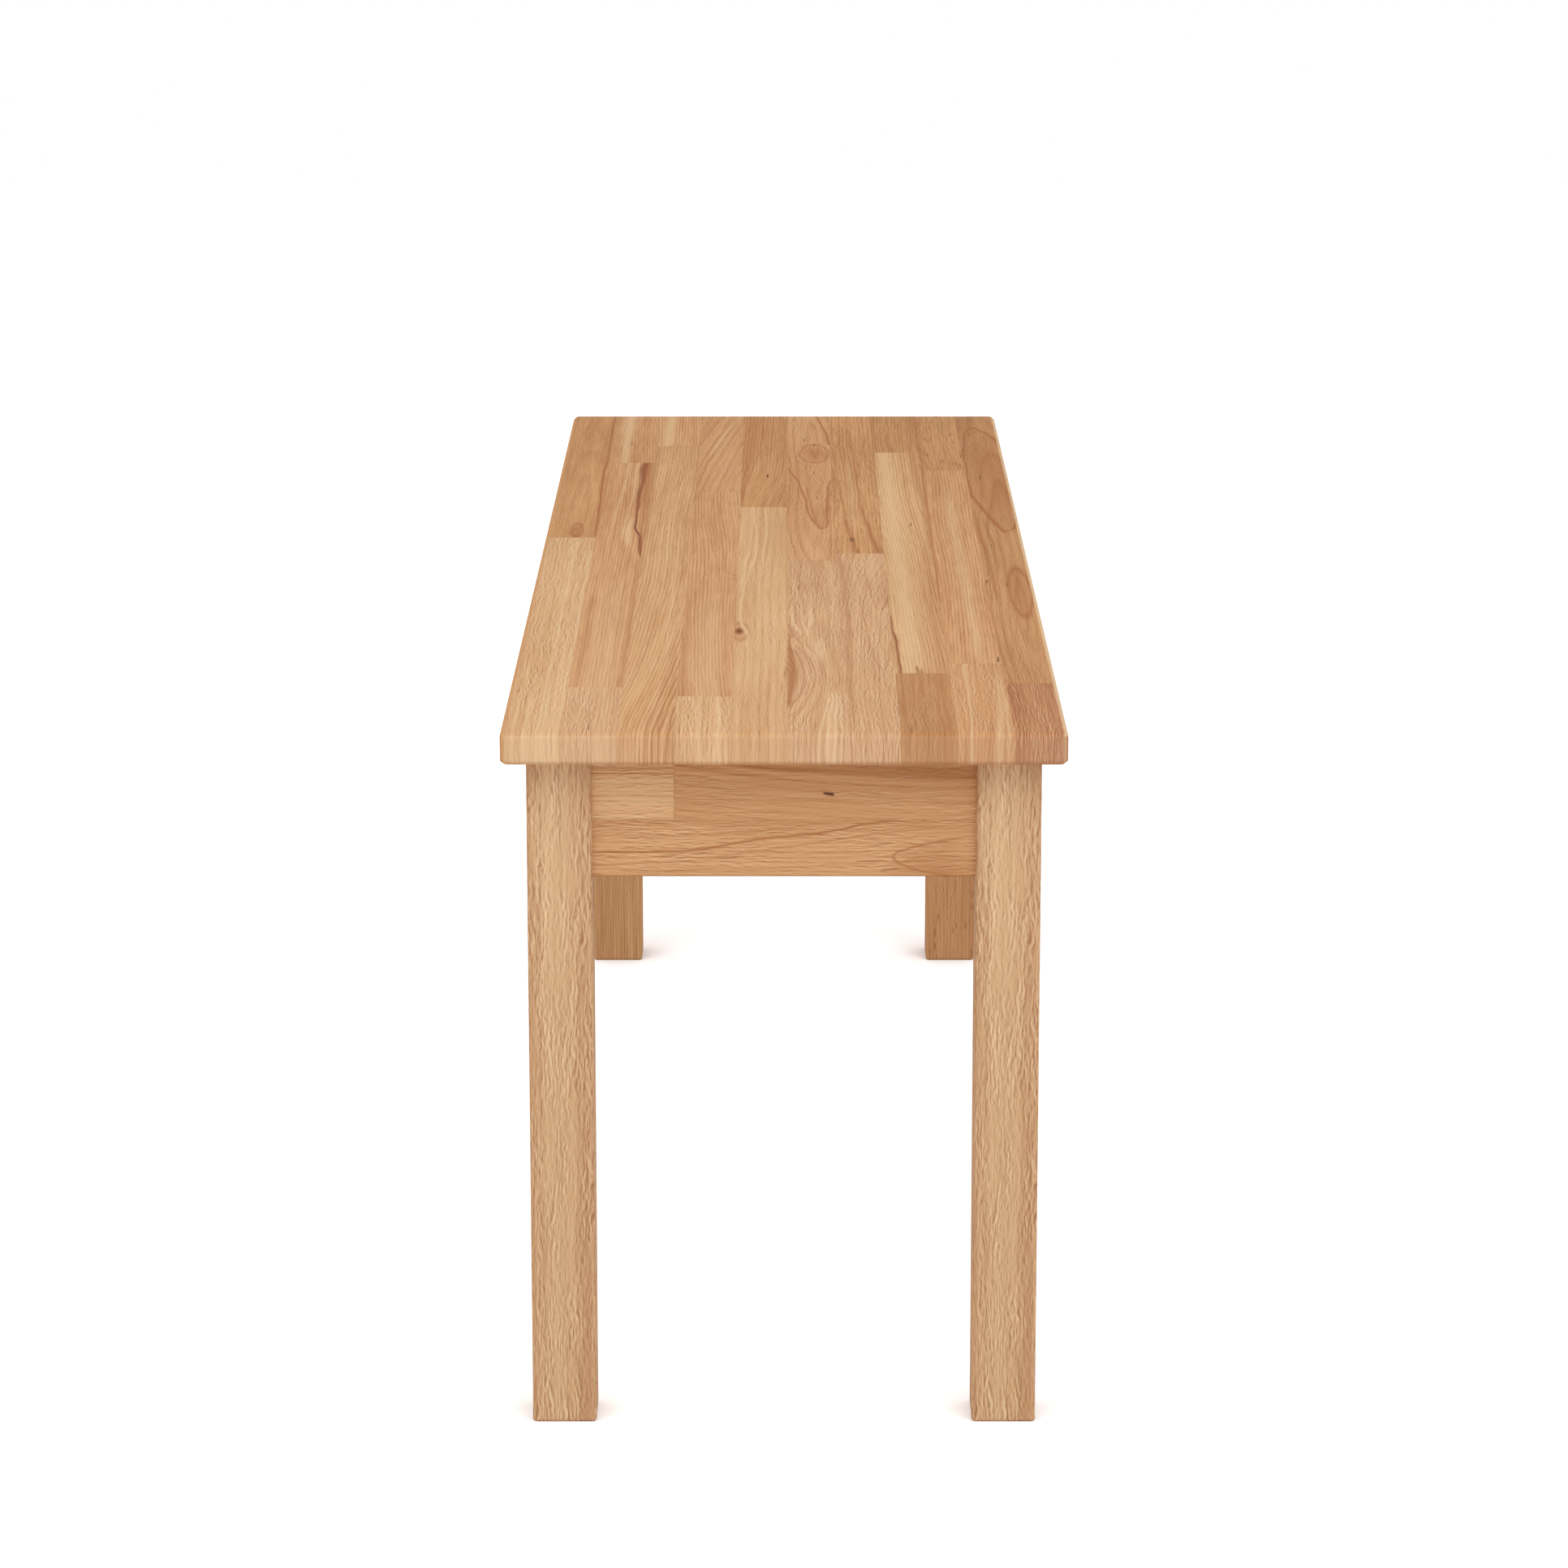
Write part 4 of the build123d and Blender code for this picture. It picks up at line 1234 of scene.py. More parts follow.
# The looks of each rail's lamellas, the lower row first, each row from its low end
RAIL_LOOKS = {
    "end_rail_front": (
        Look(Tone.HONEY, Cut.WAVY, 31.2, pith=-200.0, marks=(
            Streak(RED, 0.8, (
                (369.5, -112, 0.7), (371.2, -50, 0.8), (377, -18, 0.7), (381, 20, 0.7), (387.5, 50, 0.6),
                (389.8, 66, 0.5),
            ), 10),
            Streak(RED, 0.35, ((361, -118, 0.6), (364, -60, 0.7), (372, 0, 0.6), (380, 50, 0.5), (385, 90, 0.5)), 10),
            Streak(RED, 0.35, ((380, -118, 0.6), (381, -40, 0.6), (384, 0, 0.5), (388, 20, 0.5)), 10),
            Streak(RED, 0.3, ((357, -90, 0.6), (359, -20, 0.6), (362, 50, 0.6)), 20),
            Arch(RED, (366, 67.5), 12.5, 42.0, 0.9, 0.6, 0.25),
            Streak(RED, 0.3, ((359, 70, 3.0), (358, 118, 5.0)), 10),
            Streak(RED, 0.25, ((388.8, -118, 1.5), (388.2, 20, 0.8)), 40),
            Streak(INK, 0.45, ((388.3, -82, 0.4), (387.8, -74, 0.3))),
            Streak(INK, 0.4, ((367, -75, 0.35), (367.3, -68, 0.35))),
            Streak(INK, 0.45, ((365.6, -39, 0.4), (366.2, -30, 0.35))),
            Streak(INK, 0.35, ((363.6, 46, 0.35), (364.2, 54, 0.35))),
            Streak(INK, 0.4, ((374, 57, 0.35), (374.8, 64, 0.35))),
            Streak(INK, 0.5, ((358, 61, 0.5), (358.8, 69, 0.4))),
        )),
        # A paler tone as painted light against the shade under the seat
        Look(Tone.CREAM, Cut.WAVY, 32.5, marks=(
            Streak(CREAM, 0.5, ((414.6, -118, 0.6), (414.2, -68, 0.5))),
            Streak(CREAM, 0.35, ((403, -118, 0.8), (402.6, -68, 0.7))),
            Streak(RED, 0.6, ((419.4, -118, 0.5), (418.6, -68, 0.4))),
            Streak(RED, 0.4, ((423, -118, 1.2), (422.5, -68, 1.2))),
            Streak(RED, 0.35, ((391, -118, 0.8), (390.8, -68, 0.8))),
        )),
        Look(Tone.HONEY, Cut.FLAT, 33.9, pith=620.0, depth=-43.0, slope=0.43, marks=(
            Streak(RED, 0.5, ((425, -30, 0.8), (422, 10, 2.2), (419.5, 60, 3.4), (418.5, 118, 4.2)), 10),
            Streak(INK, 1.0, ((406.9, 25.0, 0.8), (406.2, 30, 1.1)), 1.5),
        )),
    ),
    "end_rail_rear": (
        Look(Tone.HONEY, Cut.WAVY, 41.2),
        Look(Tone.AMBER, Cut.RIFT, 42.1),
        Look(Tone.HONEY, Cut.FLAT, 43.7, pith=408.0, depth=10.0, slope=0.08),
    ),
    "side_rail_left": (
        Look(Tone.HONEY, Cut.WAVY, 51.4),
        Look(Tone.AMBER, Cut.RIFT, 52.3, lean=0.01),
        Look(Tone.BLOND, Cut.FLAT, 53.8, pith=372.0, depth=12.0, slope=0.03),
        Look(Tone.AMBER, Cut.FLAT, 54.2, pith=410.0, depth=9.0, slope=0.05),
        Look(Tone.HONEY, Cut.FLECKED, 55.1),
        Look(Tone.RUSSET, Cut.RIFT, 56.6),
        Look(Tone.HONEY, Cut.WAVY, 57.3),
    ),
    "side_rail_right": (
        Look(Tone.AMBER, Cut.RIFT, 61.4),
        Look(Tone.HONEY, Cut.FLAT, 62.9, pith=372.0, depth=8.0, slope=-0.035),
        Look(Tone.BLOND, Cut.WAVY, 63.5),
        Look(Tone.HONEY, Cut.RIFT, 64.8),
        Look(Tone.HONEY, Cut.WAVY, 65.2),
        Look(Tone.RUSSET, Cut.FLECKED, 66.7),
        Look(Tone.AMBER, Cut.RIFT, 67.1, lean=-0.01),
    ),
}

# A front leg has a pale band left of its middle and a redder right edge
FRONT_LEG = Look(Tone.SAND, Cut.SAWN_LEG, 71.6, marks=(
    Streak(CREAM, 0.22, ((-3, 0, 5.0), (-2, 120, 7.0), (-3, 300, 8.0), (-3, 430, 8.0)), 20),
    Streak(RED, 0.2, ((15, 0, 3.5), (14, 200, 4.5), (15, 430, 4.5)), 20),
    Streak(RED, 0.14, ((-19, 0, 3.0), (-19, 430, 2.0)), 20),
))
LEG_LOOKS = {
    "front_left": FRONT_LEG,
    "front_right": FRONT_LEG,
    "rear_left": Look(Tone.WHEAT, Cut.RIFT, 72.8),
    "rear_right": Look(Tone.HONEY, Cut.FLECKED, 73.4),
}


@dataclass
class Seat:
    """The glued-up seat of ten staves, each of one to three lamellas. Sizes in mm."""

    timber: Timber
    half_length: float = 600.0
    half_width: float = 173.5
    top: float = 450.0
    thickness: float = 20.0
    seams: tuple[float, ...] = (-136.8, -102.1, -67.4, -32.7, 2.0, 36.7, 71.4, 106.1, 140.8)
    arris: float = 1.0
    stretch: float = 2.6
    end_run: float = 1.6
    arris_strength: float = 0.75
    arris_width: float = 4.0

    def place(self, point: Vector, normal: Vector) -> Triple:
        """Gives a point's place on the board. The top's grain runs on down over the ends.

        Args:
            point: The point, in mm.
            normal: The face's normal there.

        Returns:
            Its place across, along and through, in mm.
        """
        drop = self.top - point.z
        if abs(normal.x) > 0.6 or normal.z < -0.9:
            return point.x, point.y, -drop
        return point.x, point.y + math.copysign(drop * self.end_run, point.y), 0.0

    def build(self) -> None:
        """Makes every lamella of the seat."""
        outside = Vector((self.half_width, self.half_length, self.top)) * MM
        rows = zip((-self.half_width, *self.seams), (*self.seams, self.half_width))
        for row, ((left, right), looks) in enumerate(zip(rows, SEAT_LOOKS, strict=True), start=1):
            node = f"seat_stave_{row:02d}"
            # Painted shade along the left side's arrises, and a painted highlight along the right side's, where the
            # light falls on that chamfer
            limits = Arrises(
                (-self.half_width, -self.half_length, -self.thickness), (self.half_width, self.half_length, 0.0),
                Shade.ARRIS if left < 0 else Shade.CREAM, self.arris_strength, self.arris_width,
            )
            solids = sorted(self.timber.solids(node), key=lambda solid: middle_of(solid).y)
            for number, (solid, look) in enumerate(zip(solids, looks, strict=True), start=1):
                name = f"seat_lamella_{row:02d}_{number}"
                piece = self.timber.body(name, solid, outside, self.arris)
                self.timber.write_place(piece, self.place)
                edges = tuple(edge for edge in (left, right) if abs(edge) < self.half_width)
                level = (self.top - 0.1) * MM
                flat = [corner[1] / MM for triangle in solid for corner in triangle if corner[2] > level]
                ends = tuple(end for end in (min(flat), max(flat)) if abs(end) < self.half_length - 5)
                material = self.timber.beech.make(
                    f"oiled_beech_{name}", look, self.timber.tools, edges=edges, ends=ends,
                    face_end=self.half_length, stretch=self.stretch, arrises=limits,
                )
                self.timber.finish(piece, material, node, "seat_beech")


@dataclass
class Rails:
    """The four rails, each of a lower and an upper row of lamellas. Sizes in mm."""

    timber: Timber
    half_width: float = 153.5
    half_length: float = 575.0
    bottom: float = 354.0
    row_seam: float = 390.0
    top: float = 430.0
    thickness: float = 20.0
    leg_reach: float = 60.0
    stretch: float = 1.6

    def place_on_end(self, point: Vector, normal: Vector) -> Triple:
        """Gives a point's place on an end rail, whose grain runs along X."""
        return point.z, point.x, abs(point.y) - self.half_length

    def place_on_side(self, point: Vector, normal: Vector) -> Triple:
        """Gives a point's place on a side rail, whose grain runs along Y."""
        return point.z, point.y, abs(point.x) - self.half_width

    def build(self) -> None:
        """Makes every lamella of the rails."""
        outside = Vector((self.half_width, self.half_length, self.bottom)) * MM
        # A dark line of painted shade along the rails' arrises
        limits = Arrises((self.bottom, -self.half_length, -self.thickness), (self.top, self.half_length, 0.0))
        for node, looks in RAIL_LOOKS.items():
            on_end = node.startswith("end")
            axis = 0 if on_end else 1

            def order(solid: list) -> tuple[bool, float]:
                """Puts the lower row first, and then the low end first."""
                middle = middle_of(solid)
                return middle.z > self.row_seam * MM, middle[axis]

            solids = sorted(self.timber.solids(node), key=order)
            for number, (solid, look) in enumerate(zip(solids, looks, strict=True), start=1):
                name = f"{node}_lamella_{number}"
                piece = self.timber.body(name, solid, outside, 0.0)
                self.timber.write_place(piece, self.place_on_end if on_end else self.place_on_side)
                material = self.timber.beech.make(
                    f"oiled_beech_{name}", look, self.timber.tools, edges=(self.row_seam,),
                    ends=self._shown_ends(solid, axis), stretch=self.stretch, arrises=limits,
                )
                self.timber.finish(piece, material, node, "rail_beech")

    def _shown_ends(self, solid: list, axis: int) -> tuple[float, ...]:
        """Gives where a lamella's face ends at finger joints, rather than at a leg.

        Args:
            solid: The lamella's triangles.
            axis: The axis of the grain.

        Returns:
            The ends, in mm.
        """
        halves = (self.half_width, self.half_length)
        face = [c for t in solid for c in t if abs(c[1 - axis]) > (halves[1 - axis] - 0.05) * MM]
        ends = {round(pick(c[axis] for c in face) / MM, 1) for pick in (min, max)} if face else set()
        return tuple(sorted(end for end in ends if abs(end) < halves[axis] - self.leg_reach))


@dataclass
class Legs:
    """The four square legs, each sawn from one piece. Sizes in mm."""

    timber: Timber
    centre_x: float = 138.5
    centre_y: float = 560.0
    half_side: float = 20.0
    reach: float = 1000.0

    def build(self) -> None:
        """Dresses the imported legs."""
        half = self.half_side
        # A dark line of painted shade along each arris, where shade falls at the leg's edges and beside the rails
        limits = Arrises((-half, -self.reach, -half), (half, self.reach, half))
        for corner, look in LEG_LOOKS.items():
            node = f"leg_{corner}"
            side = 1 if "right" in corner else -1
            end = 1 if "rear" in corner else -1
            centre = (side * self.centre_x, 0.0, -end * self.centre_y)
            dress(node, self.timber.beech.make(
                f"oiled_beech_{node}", look, self.timber.tools, Source.UPRIGHT, centre, arrises=limits,
            ))


@dataclass
class HiddenBlocks:
    """The corner blocks and the seat buttons, sanded but never seen from above."""

    timber: Timber
    button_count: int = 10
    side_button_count: int = 6
    block_seed: float = 81.3
    button_seed: float = 90.4

    def build(self) -> None:
        """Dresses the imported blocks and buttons."""
        diagonals = {
            "front_left": Source.RISING, "rear_right": Source.RISING,
            "front_right": Source.FALLING, "rear_left": Source.FALLING,
        }
        for number, (corner, source) in enumerate(diagonals.items()):
            look = Look(Tone.BLOND, (Cut.RIFT, Cut.WAVY)[number % 2], self.block_seed + number)
            self._dress(f"corner_block_{corner}", look, source)
        for number in range(1, self.button_count + 1):
            source = Source.ALONG_X if number <= self.side_button_count else Source.ALONG_Y
            tone = (Tone.HONEY, Tone.BLOND, Tone.AMBER)[number % 3]
            look = Look(tone, (Cut.RIFT, Cut.FLECKED)[number % 2], self.button_seed + number)
            self._dress(f"seat_button_{number:02d}", look, source)

    def _dress(self, node: str, look: Look, source: Source) -> None:
        """Dresses one block or button in sanded beech."""
        dress(node, self.timber.beech.make(f"sanded_beech_{node}", look, self.timber.tools, source))


def dress(node: str, material: bpy.types.Material) -> None:
    """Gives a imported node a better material.

    Args:
        node: The node's name.
        material: The material.
    """
    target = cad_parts[node]
    if not target.material_slots:
        raise ValueError(f"{node} has no material slot")
    for place in target.material_slots:
        place.material = material
    log.info("%s: dressed in %s", node, material.name)


@dataclass(frozen=True)
class ZincSteel:
    """Wood screws of steel, zinc-plated and passivated: a satin grey with a faint yellow and blue bloom.

    Attributes:
        grey: The zinc's colour.
        bloom: The passivation's colour.
        bloom_share: How much of it shows where it shows most.
        bloom_scale: Noise scale of its patches of about 2 mm.
        pit_scale: Noise scale of the bead-blasted grain of about 0.1 mm.
        pit_depth: How deep that grain is, in mm.
        roughness: How matt the metal is.
        pit_roughness: How matt it is in the pits.
    """

    grey: str = "#B9BBBD"
    bloom: str = "#C3B893"
    bloom_share: float = 0.6
    bloom_scale: float = 500.0
    pit_scale: float = 9000.0
    pit_depth: float = 0.02
    roughness: float = 0.32
    pit_roughness: float = 0.46

    def make(self) -> bpy.types.Material:
        """Makes the material.

        Returns:
            The material.
        """
        material = bpy.data.materials.new("zinc_plated_steel")
        put = emptied(material)
        spot = put("ShaderNodeTexCoord").outputs["Object"]
        bloom, pits = (
            put(NOISE, {"Vector": spot, "Scale": scale, "Detail": detail})
            for scale, detail in ((self.bloom_scale, 2.0), (self.pit_scale, 1.0))
        )
        share = put(RANGE, (bloom, 0.4, 0.7, 0.0, self.bloom_share))
        colour = put(MIX, {0: share, 6: linear(self.grey), 7: linear(self.bloom)}, data_type="RGBA").outputs[2]
        rough = put(RANGE, (pits, 0.3, 0.7, self.roughness, self.pit_roughness))
        bump = put("ShaderNodeBump", {"Strength": 0.3, "Distance": self.pit_depth * MM, "Height": pits})
        surface = put("ShaderNodeBsdfPrincipled", {
            "Base Color": colour, "Metallic": 1.0, "Roughness": rough, "Normal": bump,
        })
        put("ShaderNodeOutputMaterial", {"Surface": surface})
        return material


@dataclass
class Screws:
    """Pan-head wood screws with a cross recess and a rolled thread. Sizes in mm."""

    steel: ZincSteel
    head_radius: float = 4.0
    rim_height: float = 1.2
    crown_height: float = 2.6
    crown_share: float = 0.96
    core_radius: float = 1.5
    tip_radius: float = 0.2
    thread_radius: float = 2.0
    plain_share: float = 0.3
    tip: float = 4.0
    pitch: float = 1.8
    recess_reach: float = 4.4
    recess_width: float = 0.9
    recess_depth: float = 1.7
    crease: float = 35.0
    facets: int = 32
    core_facets: int = 16
    seed: int = 7
    seat_screw_length: float = 30.0
    block_screw_length: float = 25.0
    button_level: float = 414.0
    block_levels: Pair = (404.5, 381.0)
    side_button: Pair = (118.5, 350.0)
    end_button: Pair = (51.5, 540.0)
    block_x: Pair = (121.5, 519.0)
    block_y: Pair = (97.5, 543.0)

    def _tree(self) -> bpy.types.NodeTree:
        """Makes the Geometry Nodes tree that sets one screw on each point.

        Returns:
            The tree.
        """
        lengths = {
            "Length": self.seat_screw_length, "Head Radius": self.head_radius, "Rim Height": self.rim_height,
            "Crown Height": self.crown_height, "Core Radius": self.core_radius, "Tip Radius": self.tip_radius,
            "Thread Radius": self.thread_radius, "Tip": self.tip, "Pitch": self.pitch,
            "Recess Reach": self.recess_reach, "Recess Width": self.recess_width, "Recess Depth": self.recess_depth,
        }
        shares = {"Crown Share": self.crown_share, "Plain Share": self.plain_share}
        tree, put, given = new_group("screws_on_points", "Geometry", {
            "Geometry": {"Geometry": None},
            "Float": {name: length * MM for name, length in lengths.items()} | shares,
            "Int": {"Facets": self.facets, "Core Facets": self.core_facets, "Seed": self.seed},
            "Material": {"Material": None},
        }, {"Geometry": ("Geometry",)})
        head, core = given["Head Radius"], given["Core Radius"]

        # Head: a low rim with a domed crown
        rim = put(CONE, {
            "Vertices": given["Facets"], "Radius Top": head, "Radius Bottom": head, "Depth": given["Rim Height"],
        })
        rings = put(OVER, (given["Facets"], 2.0))
        ball = put("GeometryNodeMeshUVSphere", {"Segments": given["Facets"], "Rings": rings, "Radius": 1.0})
        dome_height = put(MINUS, (given["Crown Height"], given["Rim Height"]))
        dome_radius = put(TIMES, (head, given["Crown Share"]))
        dome = put(SHIFTED, {
            "Geometry": ball, "Translation": put(JOINED, (0.0, 0.0, given["Rim Height"])),
            "Scale": put(JOINED, (dome_radius, dome_radius, dome_height)),
        })
        whole = put(MERGED, {"Mesh 2": [rim, dome]}, operation="UNION", solver="EXACT")

        # Recess: a cross, turned by half a facet, so that its corners don't fall on the crown's edges
        double_depth = put(TIMES, (given["Recess Depth"], 2.0))
        crown_top = put(JOINED, (0.0, 0.0, given["Crown Height"]))
        bars = []
        for reach, width in (("Recess Reach", "Recess Width"), ("Recess Width", "Recess Reach")):
            bar = put("GeometryNodeMeshCube", {"Size": put(JOINED, (given[reach], given[width], double_depth))})
            bars.append(put(SHIFTED, {
                "Geometry": bar, "Translation": crown_top, "Rotation": (0.0, 0.0, math.pi / self.facets),
            }))
        cross = put(MERGED, {"Mesh 2": bars}, operation="UNION", solver="EXACT")
        recessed = put(MERGED, {"Mesh 1": whole, "Mesh 2": cross}, operation="DIFFERENCE", solver="EXACT")

        # Shank: a round core down to a drawn-out tip, with the thread wound round it
        straight = put(MINUS, (given["Length"], given["Tip"]))
        lengths_of_core = []
        for bottom, height, drop in ((core, straight, straight), (given["Tip Radius"], given["Tip"], given["Length"])):
            length = put(CONE, {
                "Vertices": given["Core Facets"], "Radius Top": core, "Radius Bottom": bottom, "Depth": height,
            })
            low = put(JOINED, (0.0, 0.0, put(TIMES, (drop, -1.0))))
            lengths_of_core.append(put(SHIFTED, {"Geometry": length, "Translation": low}))
        shank = put(MERGED, {"Mesh 2": lengths_of_core}, operation="UNION", solver="EXACT")
        threaded_share = put(MINUS, (1.0, given["Plain Share"]))
        threaded = put(TIMES, (straight, threaded_share))
        helix = put("GeometryNodeCurveSpiral", {
            "Resolution": given["Core Facets"], "Rotations": put(OVER, (threaded, given["Pitch"])),
            "Start Radius": core, "End Radius": core, "Height": threaded,
        })
        depth = put(MINUS, (given["Thread Radius"], core))
        ridge = put("GeometryNodeCurvePrimitiveCircle", {"Resolution": 3, "Radius": depth})
        thread = put("GeometryNodeCurveToMesh", {"Curve": helix, "Profile Curve": ridge, "Fill Caps": True})
        straight_low = put(JOINED, (0.0, 0.0, put(TIMES, (straight, -1.0))))
        thread_placed = put(SHIFTED, {"Geometry": thread, "Translation": straight_low})
        screw = put("GeometryNodeJoinGeometry", {"Geometry": [recessed, shank, thread_placed]})

        # One on each point, its head turned the way that the point says, and spun by chance about its own axis
        axis = put("GeometryNodeInputNamedAttribute", {"Name": "axis"}, data_type="FLOAT_VECTOR").outputs[0]
        facing = put("FunctionNodeAlignRotationToVector", {"Vector": axis}, axis="Z")
        spin = put("FunctionNodeRandomValue", {2: 0.0, 3: math.tau, "Seed": given["Seed"]}, data_type="FLOAT")
        spin_turn = put("FunctionNodeEulerToRotation", (put(JOINED, (0.0, 0.0, spin.outputs[1])),))
        turned = put("FunctionNodeRotateRotation", (facing, spin_turn), rotation_space="LOCAL")
        placed = put("GeometryNodeInstanceOnPoints", {
            "Points": given["Geometry"], "Instance": screw, "Rotation": turned,
        })
        real = put("GeometryNodeRealizeInstances", {"Geometry": placed})
        finished = put("GeometryNodeSetMaterial", {"Geometry": real, "Material": given["Material"]})
        put("NodeGroupOutput", {"Geometry": finished})
        return tree

    def _button_seats(self) -> list[tuple[Triple, Triple]]:
        """Gives where each button screw's head sits, and which way it faces."""
        spots = [(side, along, self.side_button) for side in (-1, 1) for along in (-1, 0, 1)]
        spots += [(side, end, self.end_button) for side in (-1, 1) for end in (-1, 1)]
        return [((side * x, along * y, self.button_level), (0.0, 0.0, -1.0)) for side, along, (x, y) in spots]

    def _block_seats(self) -> list[tuple[Triple, Triple]]:
        """Gives where each block screw's head sits, and which way it faces."""
        seats = []
        for side in (-1, 1):
            for end in (-1, 1):
                for level in self.block_levels:
                    seats.append(((side * self.block_x[0], end * self.block_x[1], level), (-side, 0.0, 0.0)))
                    seats.append(((side * self.block_y[0], end * self.block_y[1], level), (0.0, -end, 0.0)))
        return seats

    def _set(
        self, tree: bpy.types.NodeTree, material: bpy.types.Material, name: str,
        seats: list[tuple[Triple, Triple]], length: float,
    ) -> bpy.types.Object:
        """Makes one set of screws.

        Args:
            tree: The Geometry Nodes tree.
            material: The screws' finish.
            name: The piece's name.
            seats: Where the heads sit, in mm, and which way they face.
            length: How far a screw's point lies from its head's seat, in mm.

        Returns:
            The piece.
        """
        mesh = bpy.data.meshes.new(f"{name}_points")
        mesh.from_pydata([Vector(spot) * MM for spot, _ in seats], [], [])
        axis = mesh.attributes.new("axis", "FLOAT_VECTOR", "POINT")
        axis.data.foreach_set("vector", [c for _, way in seats for c in way])
        maker = shown(f"{name}_points", mesh)
        modifier = maker.modifiers.new("screws", "NODES")
        modifier.node_group = tree
        sockets = {item.name: item.identifier for item in tree.interface.items_tree if item.in_out == "INPUT"}
        modifier[sockets["Length"]] = length * MM
        modifier[sockets["Material"]] = material
        graph = bpy.context.evaluated_depsgraph_get()
        made = bpy.data.meshes.new_from_object(maker.evaluated_get(graph))
        made.shade_smooth()
        made.set_sharp_from_angle(angle=math.radians(self.crease))
        piece = shown(name, made)
        maker.modifiers.remove(modifier)
        bpy.data.objects.remove(maker)
        return piece

    def build(self) -> None:
        """Makes both sets of screws."""
        tree, material = self._tree(), self.steel.make()
        for name, node, seats, length in (
            ("seat_button_pan_head_screws", "button_screws", self._button_seats(), self.seat_screw_length),
            ("corner_block_pan_head_screws", "block_screws", self._block_seats(), self.block_screw_length),
        ):
            piece = self._set(tree, material, name, seats, length)
            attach(piece, BODY)
            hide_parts(node)
            log.info("%s: %d screws, %d faces", name, len(seats), len(piece.data.polygons))


@dataclass(frozen=True)
class Softbox:
    """A square lamp: its name, where it hangs and its side in metres, and its power in watts."""

    name: str
    spot: Triple
    size: float
    power: float


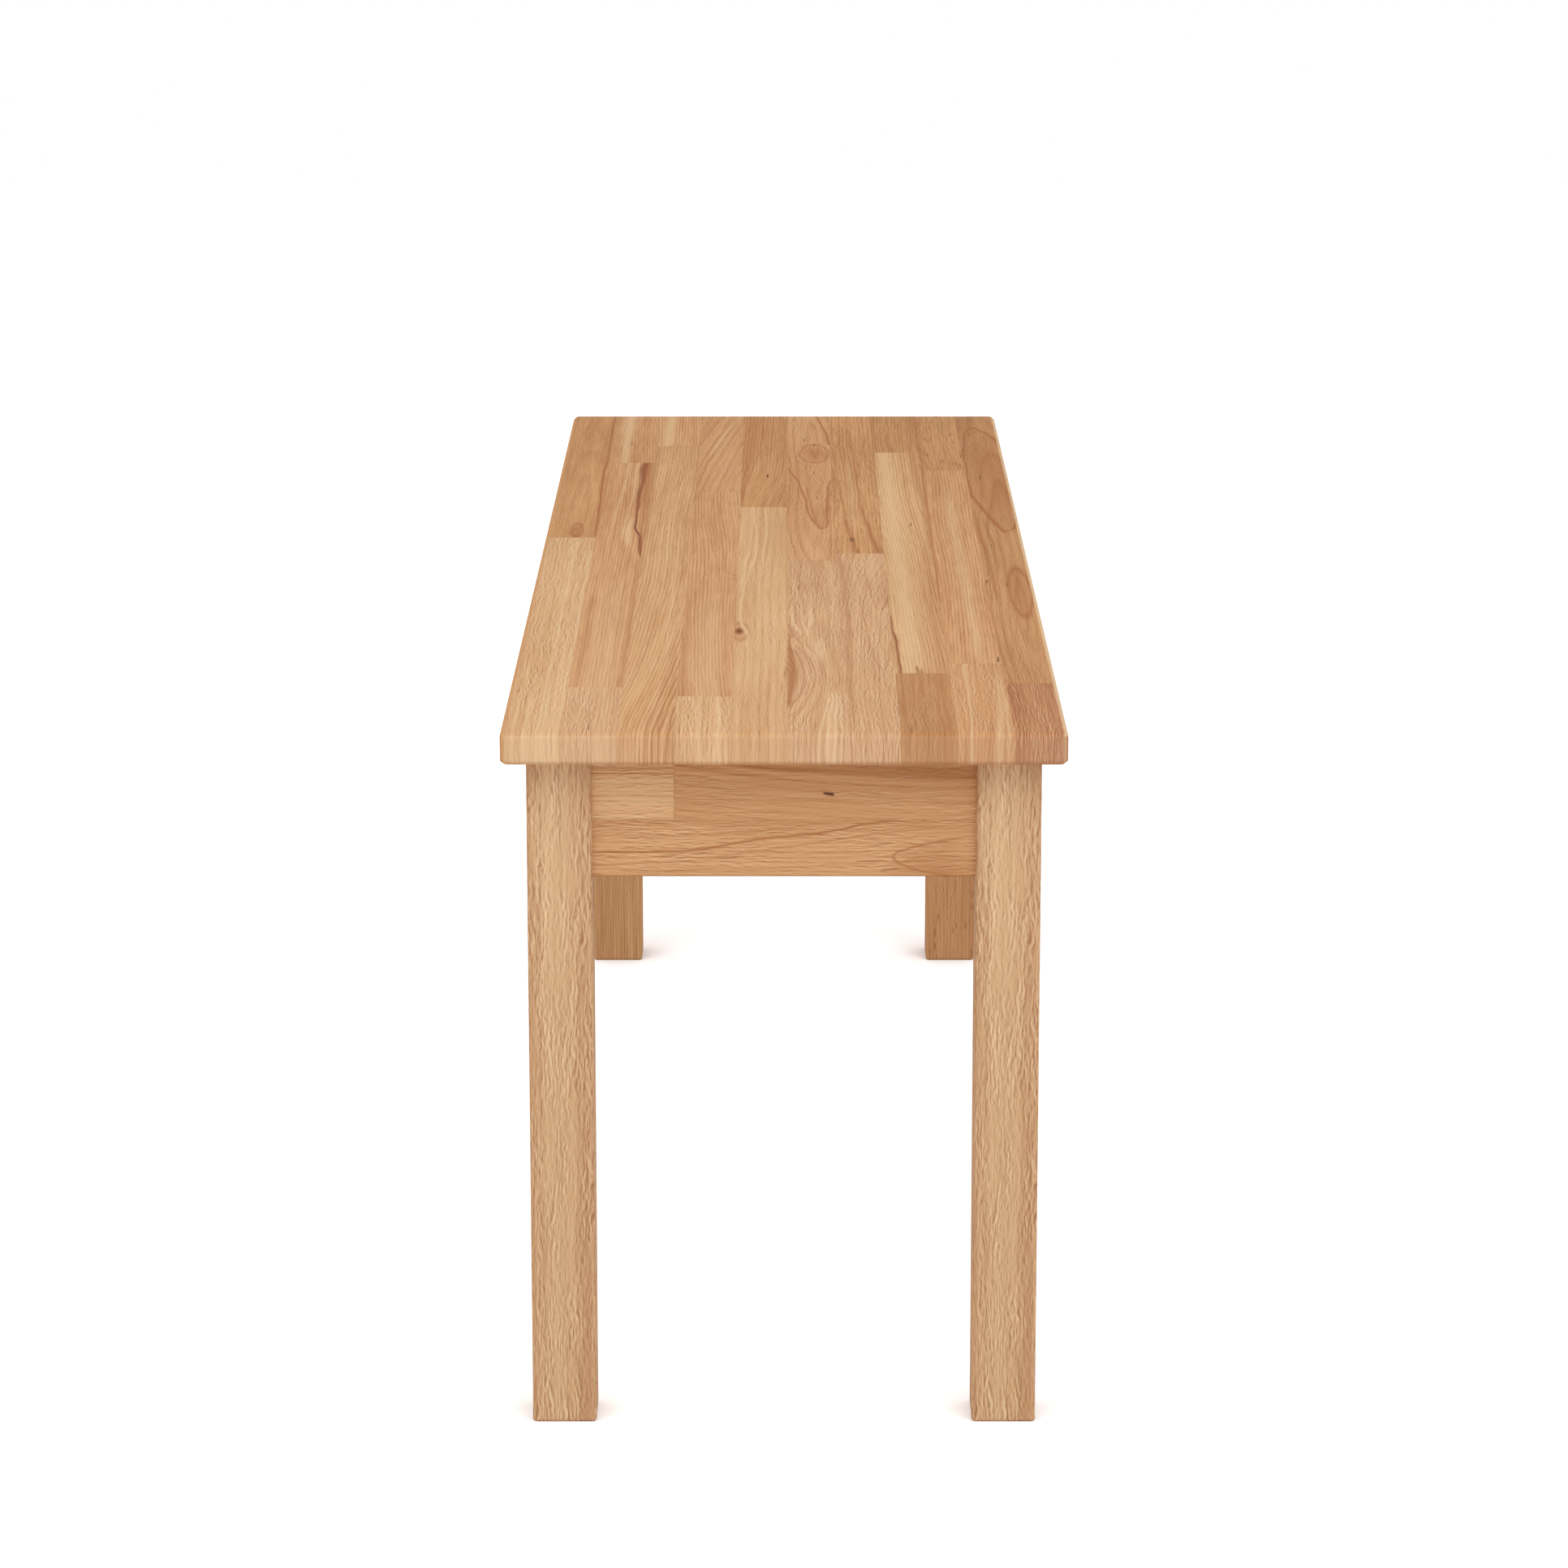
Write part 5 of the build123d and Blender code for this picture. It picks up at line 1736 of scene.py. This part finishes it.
@dataclass
class Studio:
    """The white floor, the soft light and the camera. Lengths in metres."""

    lamps: tuple[Softbox, ...] = (
        Softbox("right_softbox", (1.7, -2.4, 3.1), 2.4, 33.0),
        Softbox("left_softbox", (-1.8, -2.1, 3.1), 2.4, 27.0),
        Softbox("low_front_softbox", (0.0, -3.4, 0.55), 1.6, 4.0),
    )
    lamp_aim: Triple = (0.0, 0.0, 0.35)
    floor_reach: float = 12.0
    floor_steps: int = 24
    floor_colour: str = "#F1EFEE"
    floor_roughness: float = 0.6
    floor_lift: float = 0.5
    contact_reach: float = 0.04
    world_strength: float = 0.72
    camera_height: float = 1.1647181
    camera_back: float = 3.7808489
    camera_pitch: float = 0.23039093
    lens: float = 122.917
    sensor: float = 36.0
    far_clip: float = 100.0

    def build(self) -> None:
        """Makes the floor, the world, the lamps and the camera."""
        self._floor()
        self._world()
        for lamp in self.lamps:
            self._lamp(lamp)
        self._camera()
        log.info("studio: floor, world, %d softboxes and camera", len(self.lamps))

    def _floor(self) -> None:
        """Makes the floor, a flat sheet whose upper side lies at the feet."""
        form = bmesh.new()
        steps = self.floor_steps
        bmesh.ops.create_grid(form, x_segments=steps, y_segments=steps, size=self.floor_reach / 2)
        mesh = bpy.data.meshes.new("studio_floor")
        form.to_mesh(mesh)
        form.free()
        floor = shown("studio_floor", mesh)
        floor.data.materials.append(self._floor_paint())
        floor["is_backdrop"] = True

    @staticmethod
    def _seen(put: Put) -> bpy.types.Node:
        """Adds nodes that give 1 where the camera sees a surface, straight, in a gloss or through glass.

        Args:
            put: The function that adds a node.

        Returns:
            The last node.
        """
        path = put("ShaderNodeLightPath").outputs
        gloss = put(MOST, (path["Is Camera Ray"], path["Is Glossy Ray"]))
        return put(MOST, (gloss, path["Is Transmission Ray"]))

    def _floor_paint(self) -> bpy.types.Material:
        """Makes the floor's matt white paint, lifted to white where the camera sees it unshaded, with a painted contact
        shadow that fades the lift near the object.

        Returns:
            The material.
        """
        material = bpy.data.materials.new("matt_white_floor_paint")
        put = emptied(material)
        # Painted contact shadow: the lift fades where ambient occlusion finds the object near
        near = put("ShaderNodeAmbientOcclusion", {"Distance": self.contact_reach}).outputs["AO"]
        lifted = put(TIMES, (near, self.floor_lift))
        lift = put(TIMES, (self._seen(put), lifted))
        paint = put("ShaderNodeBsdfDiffuse", (linear(self.floor_colour), self.floor_roughness))
        glow = put("ShaderNodeEmission", (WHITE, lift))
        put("ShaderNodeOutputMaterial", {"Surface": put("ShaderNodeAddShader", (paint, glow))})
        return material

    def _world(self) -> None:
        """Makes the world: plain white light, and pure white where the camera sees it."""
        world = bpy.data.worlds.new("studio_white")
        bpy.context.scene.world = world
        put = emptied(world)
        strength = put(RANGE, (self._seen(put), 0.0, 1.0, self.world_strength, 1.0))
        put("ShaderNodeOutputWorld", {"Surface": put("ShaderNodeBackground", (WHITE, strength))})

    def _lamp(self, lamp: Softbox) -> None:
        """Hangs a softbox that faces the lamps' aim.

        Args:
            lamp: The softbox.
        """
        light = bpy.data.lights.new(lamp.name, "AREA")
        light.size = lamp.size
        light.energy = lamp.power
        hung = shown(lamp.name, light)
        hung.location = lamp.spot
        hung.rotation_euler = (Vector(self.lamp_aim) - Vector(lamp.spot)).to_track_quat("-Z", "Y").to_euler()

    def _camera(self) -> None:
        """Makes the camera at the photograph's viewpoint."""
        lens = bpy.data.cameras.new("camera")
        lens.lens = self.lens
        lens.sensor_width = self.sensor
        lens.clip_end = self.far_clip
        camera = shown("camera", lens)
        camera.location = (0.0, -self.camera_back, self.camera_height)
        camera.rotation_euler = (math.pi / 2 - self.camera_pitch, 0.0, 0.0)
        bpy.context.scene.camera = camera


def corners() -> list[list[float]]:
    """Gives the shown object's lowest and highest corners as plain lists."""
    return [[float(c) for c in corner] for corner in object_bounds()]


def main() -> None:
    """Builds the scene piece by piece."""
    logging.basicConfig(level=logging.INFO, format="%(name)s: %(message)s")
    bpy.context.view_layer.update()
    bpy.context.scene.view_settings.view_transform = "Standard"
    timber = Timber(GrainTools(), OiledBeech())
    for part in (Studio(), Seat(timber), Rails(timber), Legs(timber), HiddenBlocks(timber), Screws(ZincSteel())):
        part.build()


if __name__ == "__main__":
    main()
